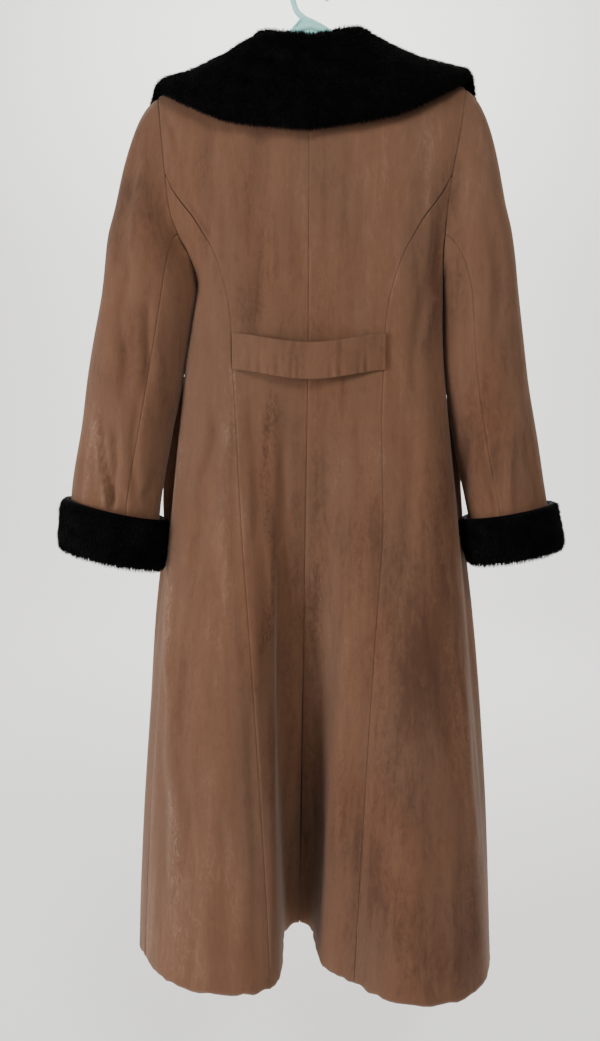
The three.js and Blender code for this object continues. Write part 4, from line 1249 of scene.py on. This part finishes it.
def collar():
    """The fall of fur round the neck: its backing, and the pile combed out from the neck."""
    rows, columns = COLLAR_GRID
    along = np.linspace(-COLLAR_REACH, COLLAR_REACH, rows)
    across = np.linspace(0, COLLAR_INSET, columns)
    middle = collar_surface(along, across)
    normals = grid_normals(middle)
    ends = np.minimum(1, COLLAR_END["thick"] + COLLAR_END["gain"] * (COLLAR_REACH - np.abs(along)))[:, None]
    lines, shares = np.array(COLLAR_THICK).T
    half = FUR / 2 * np.interp(across / COLLAR_INSET, lines, shares) * ends
    lump = 0.75 * swirl(middle, 40, 21)[..., 0] + 0.3 * swirl(middle, 15, 22)[..., 1]
    outer = middle + normals * (half - PILE_STAND * ends + lump * ends)[..., None]
    inner = middle - normals * (half - COLLAR_LINING)[..., None]
    points = np.stack([outer, inner])
    looks = {"tone": np.zeros(points.shape[:3])}
    obj = new_object("collar_backing", points, wall_of_two(outer, inner), FUR_FINISH, looks)
    belongs(obj, "faux_fur", "collar")
    chance = np.random.default_rng(COLLAR_SEED)
    comb = unit(np.gradient(outer, axis=1))
    face_normals = grid_normals(outer)
    faces = grid_faces(rows, columns)
    places = scatter([outer, face_normals, comb], faces, FUR_DENSITY, chance)
    edge = faces.reshape(rows - 1, columns - 1, 4)
    rim = edge[:, -5:].reshape(-1, 4)
    under = scatter([inner, -normals, comb], rim, FUR_DENSITY, chance)
    lip = scatter([outer, face_normals, comb], edge[:, :2].reshape(-1, 4), FUR_DENSITY, chance)
    tips = [mix(outer, inner, 0.5), normals * 0.02 + comb, comb]
    fringe = scatter(tips, edge[:, -1:].reshape(-1, 4), FRINGE_DENSITY, chance)
    roots, standing, lying = (np.concatenate(part) for part in zip(places, under, lip, fringe))
    for name, keep in (("left", roots[:, 0] < 0), ("right", roots[:, 0] >= 0)):
        lay = roots[keep], standing[keep], lying[keep]
        pile(f"collar_pile_{name}", *lay, chance)


collar()

CUFF_PROFILE = (
    # share of the cuff's height, and of the pile's depth off the sleeve
    (0.06, 0), (0.35, 0), (0.65, 0), (0.94, 0), (1.0, 0.3), (1.0, 0.62),
    (0.9, 0.93), (0.65, 1), (0.35, 1.02), (0.1, 0.95), (0.0, 0.66), (0.0, 0.3),
)
CUFF_GRID = (120, 48)
CUFF_INSET = 2.6
CUFF_DENSITY = 0.475
CUFF_SEED = {"left": 41, "right": 42}
# Painted sheen: the cuffs' strands are all a little greyer than the collar's.
CUFF_PAINTED_SHEEN = 0.12


def cuff(side):
    """A turned-up band of fur round the end of a sleeve."""
    columns, rows = CUFF_GRID
    ring = np.array(CUFF_PROFILE)
    keys = np.arange(len(ring) + 1)
    up, off = cubic(keys, np.concatenate([ring, ring[:1]]).T, np.linspace(0, len(ring), rows, endpoint=False))
    height = CUFF_HEIGHT[side]
    turn, up = np.meshgrid(np.linspace(0, 2 * math.pi, columns, endpoint=False), up)
    off = np.broadcast_to(off[:, None], turn.shape)
    z = CUFF_TOP_Z - CUFF_INSET - (1 - up) * (height - 2 * CUFF_INSET)
    backing = FUR - PILE_STAND
    lump = 0.5 * np.sin(turn * 7 + 1.3) * np.sin(turn * 3) + 0.3 * np.sin(turn * 13 + up * 3)
    points = placed(side, sleeve_ring(side, turn, z, CUFF_CLEAR + off * (backing + lump)))
    loop = np.concatenate([points[-1:], points, points[:1]])
    wide = np.concatenate([loop[:, -1:], loop, loop[:, :1]], 1)
    normals = grid_normals(wide)[1:-1, 1:-1]
    # the normals point out or in as the grid runs, so a row on the outer face settles which
    outside = len(normals) * 2 // 3
    from_middle = (points - points.mean((0, 1)))[outside]
    outward = np.sign(np.sum(normals[outside] * from_middle))
    normals = normals * outward
    faces = grid_faces(rows, columns, flip=outward < 0, round_rows=True, round_columns=True)
    obj = new_object(f"cuff_backing_{side}", points, faces, FUR_FINISH, {"tone": np.zeros(turn.shape)})
    belongs(obj, "faux_fur", f"cuff_{side}")
    chance = np.random.default_rng(CUFF_SEED[side])
    down = stack(0.12 * SIDES[side], 0, -1 + 0 * turn)
    comb = unit(down - normals * np.sum(down * normals, -1, keepdims=True) * 0.7)
    furry = faces[np.min(off.reshape(-1)[faces], -1) > 0.25]
    roots, standing, lying = scatter([points, normals, comb], furry, CUFF_DENSITY, chance)
    strands = pile(f"cuff_pile_{side}", roots, standing, lying, chance, painted_sheen=CUFF_PAINTED_SHEEN)


for side in SIDES:
    cuff(side)


# ---------------------------------------------------------------- tubes
def curve_through(points, per, closed=False):
    """A centripetal curve through points, with some steps from each to the next."""
    points = np.asarray(points, float)
    if closed:
        padded = np.concatenate([points[-1:], points, points[:2]])
    else:
        padded = np.concatenate([2 * points[:1] - points[1:2], points, 2 * points[-1:] - points[-2:-1]])
    line = []
    for p0, p1, p2, p3 in zip(padded, padded[1:], padded[2:], padded[3:]):
        gaps = [math.sqrt(np.linalg.norm(b - a)) for a, b in ((p0, p1), (p1, p2), (p2, p3))]
        m1 = (p1 - p0) / gaps[0] - (p2 - p0) / (gaps[0] + gaps[1]) + (p2 - p1) / gaps[1]
        m2 = (p2 - p1) / gaps[1] - (p3 - p1) / (gaps[1] + gaps[2]) + (p3 - p2) / gaps[2]
        m1, m2 = m1 * gaps[1], m2 * gaps[1]
        for t in np.arange(per) / per:
            line.append(sum(weight * part for weight, part in zip(hermite(t), (p1, m1, p2, m2))))
    return np.array(line if closed else [*line, points[-1]])


def tube(line, radius, sides, closed=False):
    """Points and faces of a round tube along a line, with domed ends where it is open."""
    line = np.asarray(line, float)
    radius = np.broadcast_to(radius, len(line)).astype(float)
    if not closed:
        caps = [(math.sin(t), math.cos(t)) for t in np.linspace(0.12, math.pi / 2, 5)[:-1]]
        start, end = unit(line[1] - line[0]), unit(line[-1] - line[-2])
        head = [line[0] - start * radius[0] * c for s, c in caps]
        tail = [line[-1] + end * radius[-1] * c for s, c in reversed(caps)]
        narrow = np.array([s for s, c in caps])
        radius = np.concatenate([radius[0] * narrow, radius, radius[-1] * narrow[::-1]])
        line = np.concatenate([head, line, tail])
        ways = unit(np.gradient(line, axis=0))
    else:
        ways = unit(np.roll(line, -1, 0) - np.roll(line, 1, 0))
    across = unit(np.cross(ways, [0, 1, 0]))
    other = np.cross(ways, across)
    turn = np.linspace(0, 2 * math.pi, sides, endpoint=False)[None, :, None]
    spokes = np.cos(turn) * across[:, None] + np.sin(turn) * other[:, None]
    points = line[:, None] + radius[:, None, None] * spokes
    grid = grid_faces(len(line), sides, flip=True, round_rows=closed, round_columns=True)
    faces = [list(face) for face in grid]
    points = points.reshape(-1, 3)
    if not closed:
        for end, order in ((0, 1), (len(line) - 1, -1)):
            ring = list(range(end * sides, (end + 1) * sides))
            faces += [[ring[0], *pair[::order]] for pair in zip(ring[1:], ring[2:])]
    return points, faces


def joined(name, pieces, material):
    """One object from several closed pieces, each with its own points and faces."""
    mesh = bpy.data.meshes.new(name)
    points, faces = [], []
    for piece_points, piece_faces in pieces:
        faces += [[int(i) + len(points) for i in face] for face in piece_faces]
        points += (np.asarray(piece_points) * MM).tolist()
    mesh.from_pydata(points, [], faces)
    shell = bmesh.new()
    shell.from_mesh(mesh)
    bmesh.ops.recalc_face_normals(shell, faces=shell.faces)
    shell.to_mesh(mesh)
    shell.free()
    mesh.polygons.foreach_set("use_smooth", [True] * len(mesh.polygons))
    mesh.materials.append(material)
    return in_scene(name, mesh)


# ---------------------------------------------------------------- hanger
HANGER_ROD = 5
HANGER_APEX_Z = -69
HANGER_TIP_X = 186
HANGER_BAR_Z = -200
HANGER_CLEAR = 4.5
HANGER_BEND = (
    # inward from the tip, the member it is measured from, and how far below it
    (119, "arm", 0),
    (66, "arm", 0),
    (12, "arm", 0),
    (0, "arm", 4),
    (-3, "arm", 16),
    (4, "bar", -8),
    (20, "bar", 0),
)
HOOK_ROD = 3.6
HOOK_RADIUS = 22
HOOK_TURN = 0.66 * math.pi
HOOK_STEM = ((-17, -49), (-7, -58), (5, -64), (18, -71), (32, -80.5))
WEB = ((-40, -90), (-24, -75), (-15, -68), (-13, -56), (-5, -60), (10, -68), (40, -90), (0, -86))
WEB_THICK = 4
WEB_RIBS = (((-12, -60), (-38, -88)), ((-12, -60), (36, -87)), ((-30, -84), (30, -84)))
RIB_RADIUS = 1.5


def hung(x, z, y=0):
    return (x, y, z + HANG_TILT * x)


def arm_z(x):
    return NECK_POINT_Z - (x - NECK_HALF) * SHOULDER_SLOPE - CLOTH - HANGER_ROD - HANGER_CLEAR


def hanger():
    """A moulded frame with a hook, and a ribbed web where the two meet."""
    half = []
    for inward, member, below in HANGER_BEND:
        x = HANGER_TIP_X - inward
        level = arm_z(min(x, HANGER_TIP_X)) if member == "arm" else HANGER_BAR_Z
        half.append((x, level - below))
    corners = [(0, HANGER_APEX_Z), *half, (0, HANGER_BAR_Z), *[(-x, z) for x, z in reversed(half)]]
    loop = curve_through([hung(x, z) for x, z in corners], 12, closed=True)
    reach = HOOK_RADIUS + HOOK_ROD
    turns = HOOK_TURN * np.linspace(1, -1, 9)
    bend = [(reach * math.sin(turn), reach * math.cos(turn) - HOOK_RADIUS) for turn in turns]
    hook = curve_through([hung(x, z) for x, z in (*bend, *HOOK_STEM)], 9)
    outline = [hung(x, z) for x, z in WEB]
    half_thick = np.array([0, WEB_THICK / 2, 0])
    plate = np.concatenate([np.array(outline) - half_thick, np.array(outline) + half_thick])
    count = len(WEB)
    sides = [[i, (i + 1) % count, (i + 1) % count + count, i + count] for i in range(count)]
    web = (plate, [list(range(count)), list(range(2 * count - 1, count - 1, -1)), *sides])
    ribs = []
    for face in (-1, 1):
        for ends in WEB_RIBS:
            rib = curve_through([hung(x, z, face * WEB_THICK / 2) for x, z in ends], 8)
            ribs.append(tube(rib, RIB_RADIUS, 8))
    pieces = [tube(loop, HANGER_ROD, 20, closed=True), tube(hook, HOOK_ROD, 20), web, *ribs]
    obj = joined("hanger_frame", pieces, PLASTIC_FINISH)
    belongs(obj, "hanger_plastic", "hanger")


hanger()


# ---------------------------------------------------------------- buttons
BUTTON_PROFILE = (
    # distance from the middle and height above the front
    (0, 0), (9, 0), (12.4, 0.3), (13.6, 1.2), (14, 2.4), (13.7, 3.9), (12.7, 4.8), (11.4, 5),
    (10.2, 4.7), (9.2, 4.0), (8, 3.5), (5.5, 3.3), (3.9, 3.35), (3.2, 2.9), (2.4, 2.9), (0, 3.0),
)
BUTTON_SIDES = 48
HOLE_OFF = 2.9
STITCH_BESIDE = (-0.55, 0, 0.55)
STITCH_RADIUS = 0.34
STITCH_RISE = 0.75
THREAD_SEAT = 3.3


def button(number):
    low, high = (np.array(corner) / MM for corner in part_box(f"button_{number}"))
    middle = (low + high) / 2
    profile = np.array(BUTTON_PROFILE)
    sides = BUTTON_SIDES
    turn = np.linspace(0, 2 * math.pi, sides, endpoint=False)
    seat = low[1] - middle[1]
    rings = [[(r * math.cos(t), seat + up, r * math.sin(t)) for t in turn] for r, up in profile[1:-1]]
    centres = [[0, profile[end, 1] + seat, 0] for end in (0, -1)]
    points = np.concatenate([np.reshape(rings, (-1, 3)), centres]) + middle
    faces = [list(face) for face in grid_faces(len(rings), sides, round_columns=True)]
    last = (len(rings) - 1) * sides
    for i in range(sides):
        faces.append([i, len(points) - 2, (i + 1) % sides])
        faces.append([last + (i + 1) % sides, len(points) - 1, last + i])
    disc = joined(f"horn_button_{number}", [(points, faces)], HORN_FINISH)
    belongs(disc, "button", f"button_{number}")
    stitches = []
    for lean in (-1, 1):
        for beside in STITCH_BESIDE:
            ends = []
            for t in np.linspace(-1, 1, 7):
                x, z = HOLE_OFF * t, HOLE_OFF * t * lean
                y = low[1] + THREAD_SEAT + STITCH_RISE * (1 - t**2) - 0.2
                ends.append((middle[0] + x + beside * lean, y, middle[2] + z - beside))
            stitches.append(tube(ends, STITCH_RADIUS, 8))
    crossed = joined(f"button_thread_{number}", stitches, THREAD_FINISH)
    belongs(crossed, "button")


for number in range(1, BUTTONS + 1):
    button(number)


# ---------------------------------------------------------------- camera, light and floor
CAMERA_AT = (-10, -1065, -600)
CAMERA_DOWN = math.radians(6.6)
CAMERA_ROLL = math.radians(0.245)
FOCAL_SHARE = 757 / 1041
SENSOR = 36
FLOOR_Z = -1600


def camera():
    ahead = Vector((0, math.cos(CAMERA_DOWN), -math.sin(CAMERA_DOWN)))
    upright = Vector((0, math.sin(CAMERA_DOWN), math.cos(CAMERA_DOWN)))
    right = Vector((1, 0, 0))
    cos, sin = math.cos(CAMERA_ROLL), math.sin(CAMERA_ROLL)
    axes = Matrix((right * cos + upright * sin, upright * cos - right * sin, -ahead)).transposed()
    lens = bpy.data.cameras.new("camera")
    lens.sensor_width = SENSOR
    lens.lens = SENSOR * FOCAL_SHARE
    lens.clip_start = 0.05
    obj = in_scene("camera", lens)
    obj.matrix_world = Matrix.Translation(Vector(CAMERA_AT) * MM) @ axes.to_4x4()
    bpy.context.scene.camera = obj


def light(name, at, towards, size, power, colour):
    lamp = bpy.data.lights.new(name, "AREA")
    lamp.shape = "RECTANGLE"
    lamp.size, lamp.size_y = size
    lamp.energy = power
    lamp.color = colour
    obj = in_scene(name, lamp)
    obj.location = at
    obj.rotation_euler = (Vector(towards) - Vector(at)).to_track_quat("-Z", "Y").to_euler()


FLOOR_FRONT = -9000
COVE_FROM = 2600
COVE = 2400
WALL_TOP = 6500
STAGE_HALF = 9000


def backdrop():
    """A plain pale floor that sweeps up into a wall behind the coat."""
    finish = Finish("backdrop")
    grain = finish.noise((30, 30, 30), 2)
    colour = finish.blend(grain, (0.84, 0.835, 0.825), (0.87, 0.865, 0.855))
    finish.set(Base_Color=colour, Roughness=0.9, Specular_IOR_Level=0.05)
    turns = np.linspace(0, math.pi / 2, 25)
    curve = [(COVE_FROM + COVE * math.sin(t), FLOOR_Z + COVE * (1 - math.cos(t))) for t in turns]
    profile = np.array([(FLOOR_FRONT, FLOOR_Z), *curve, (COVE_FROM + COVE, WALL_TOP)])
    x, row = np.meshgrid((-STAGE_HALF, STAGE_HALF), range(len(profile)))
    points = stack(x, profile[row, 0], profile[row, 1])
    plane = new_object("backdrop", points, grid_faces(*x.shape), finish.material)


def studio():
    world = bpy.data.worlds.new("studio")
    bpy.context.scene.world = world
    world.use_nodes = True
    air = world.node_tree.nodes["Background"]
    air.inputs["Color"].default_value = (0.90, 0.90, 0.90, 1)
    air.inputs["Strength"].default_value = 0.30
    light("window", (-2.2, -1.5, -0.55), (0, 0, -0.8), (0.8, 1.3), 67, (0.98, 0.98, 1.0))
    light("ceiling", (0.8, -1.6, 0.8), (0.1, 0, -0.2), (1.1, 0.8), 29, (1.0, 0.97, 0.93))
    light("front", (0.6, 2.2, 0.5), (0, 0, -0.6), (1.6, 1.8), 18, (1.0, 0.98, 0.96))
    light("wall", (0, 1.6, 3.2), (0, 5, 0.2), (4.0, 1.0), 480, (1.0, 0.99, 0.97))


camera()
backdrop()
studio()
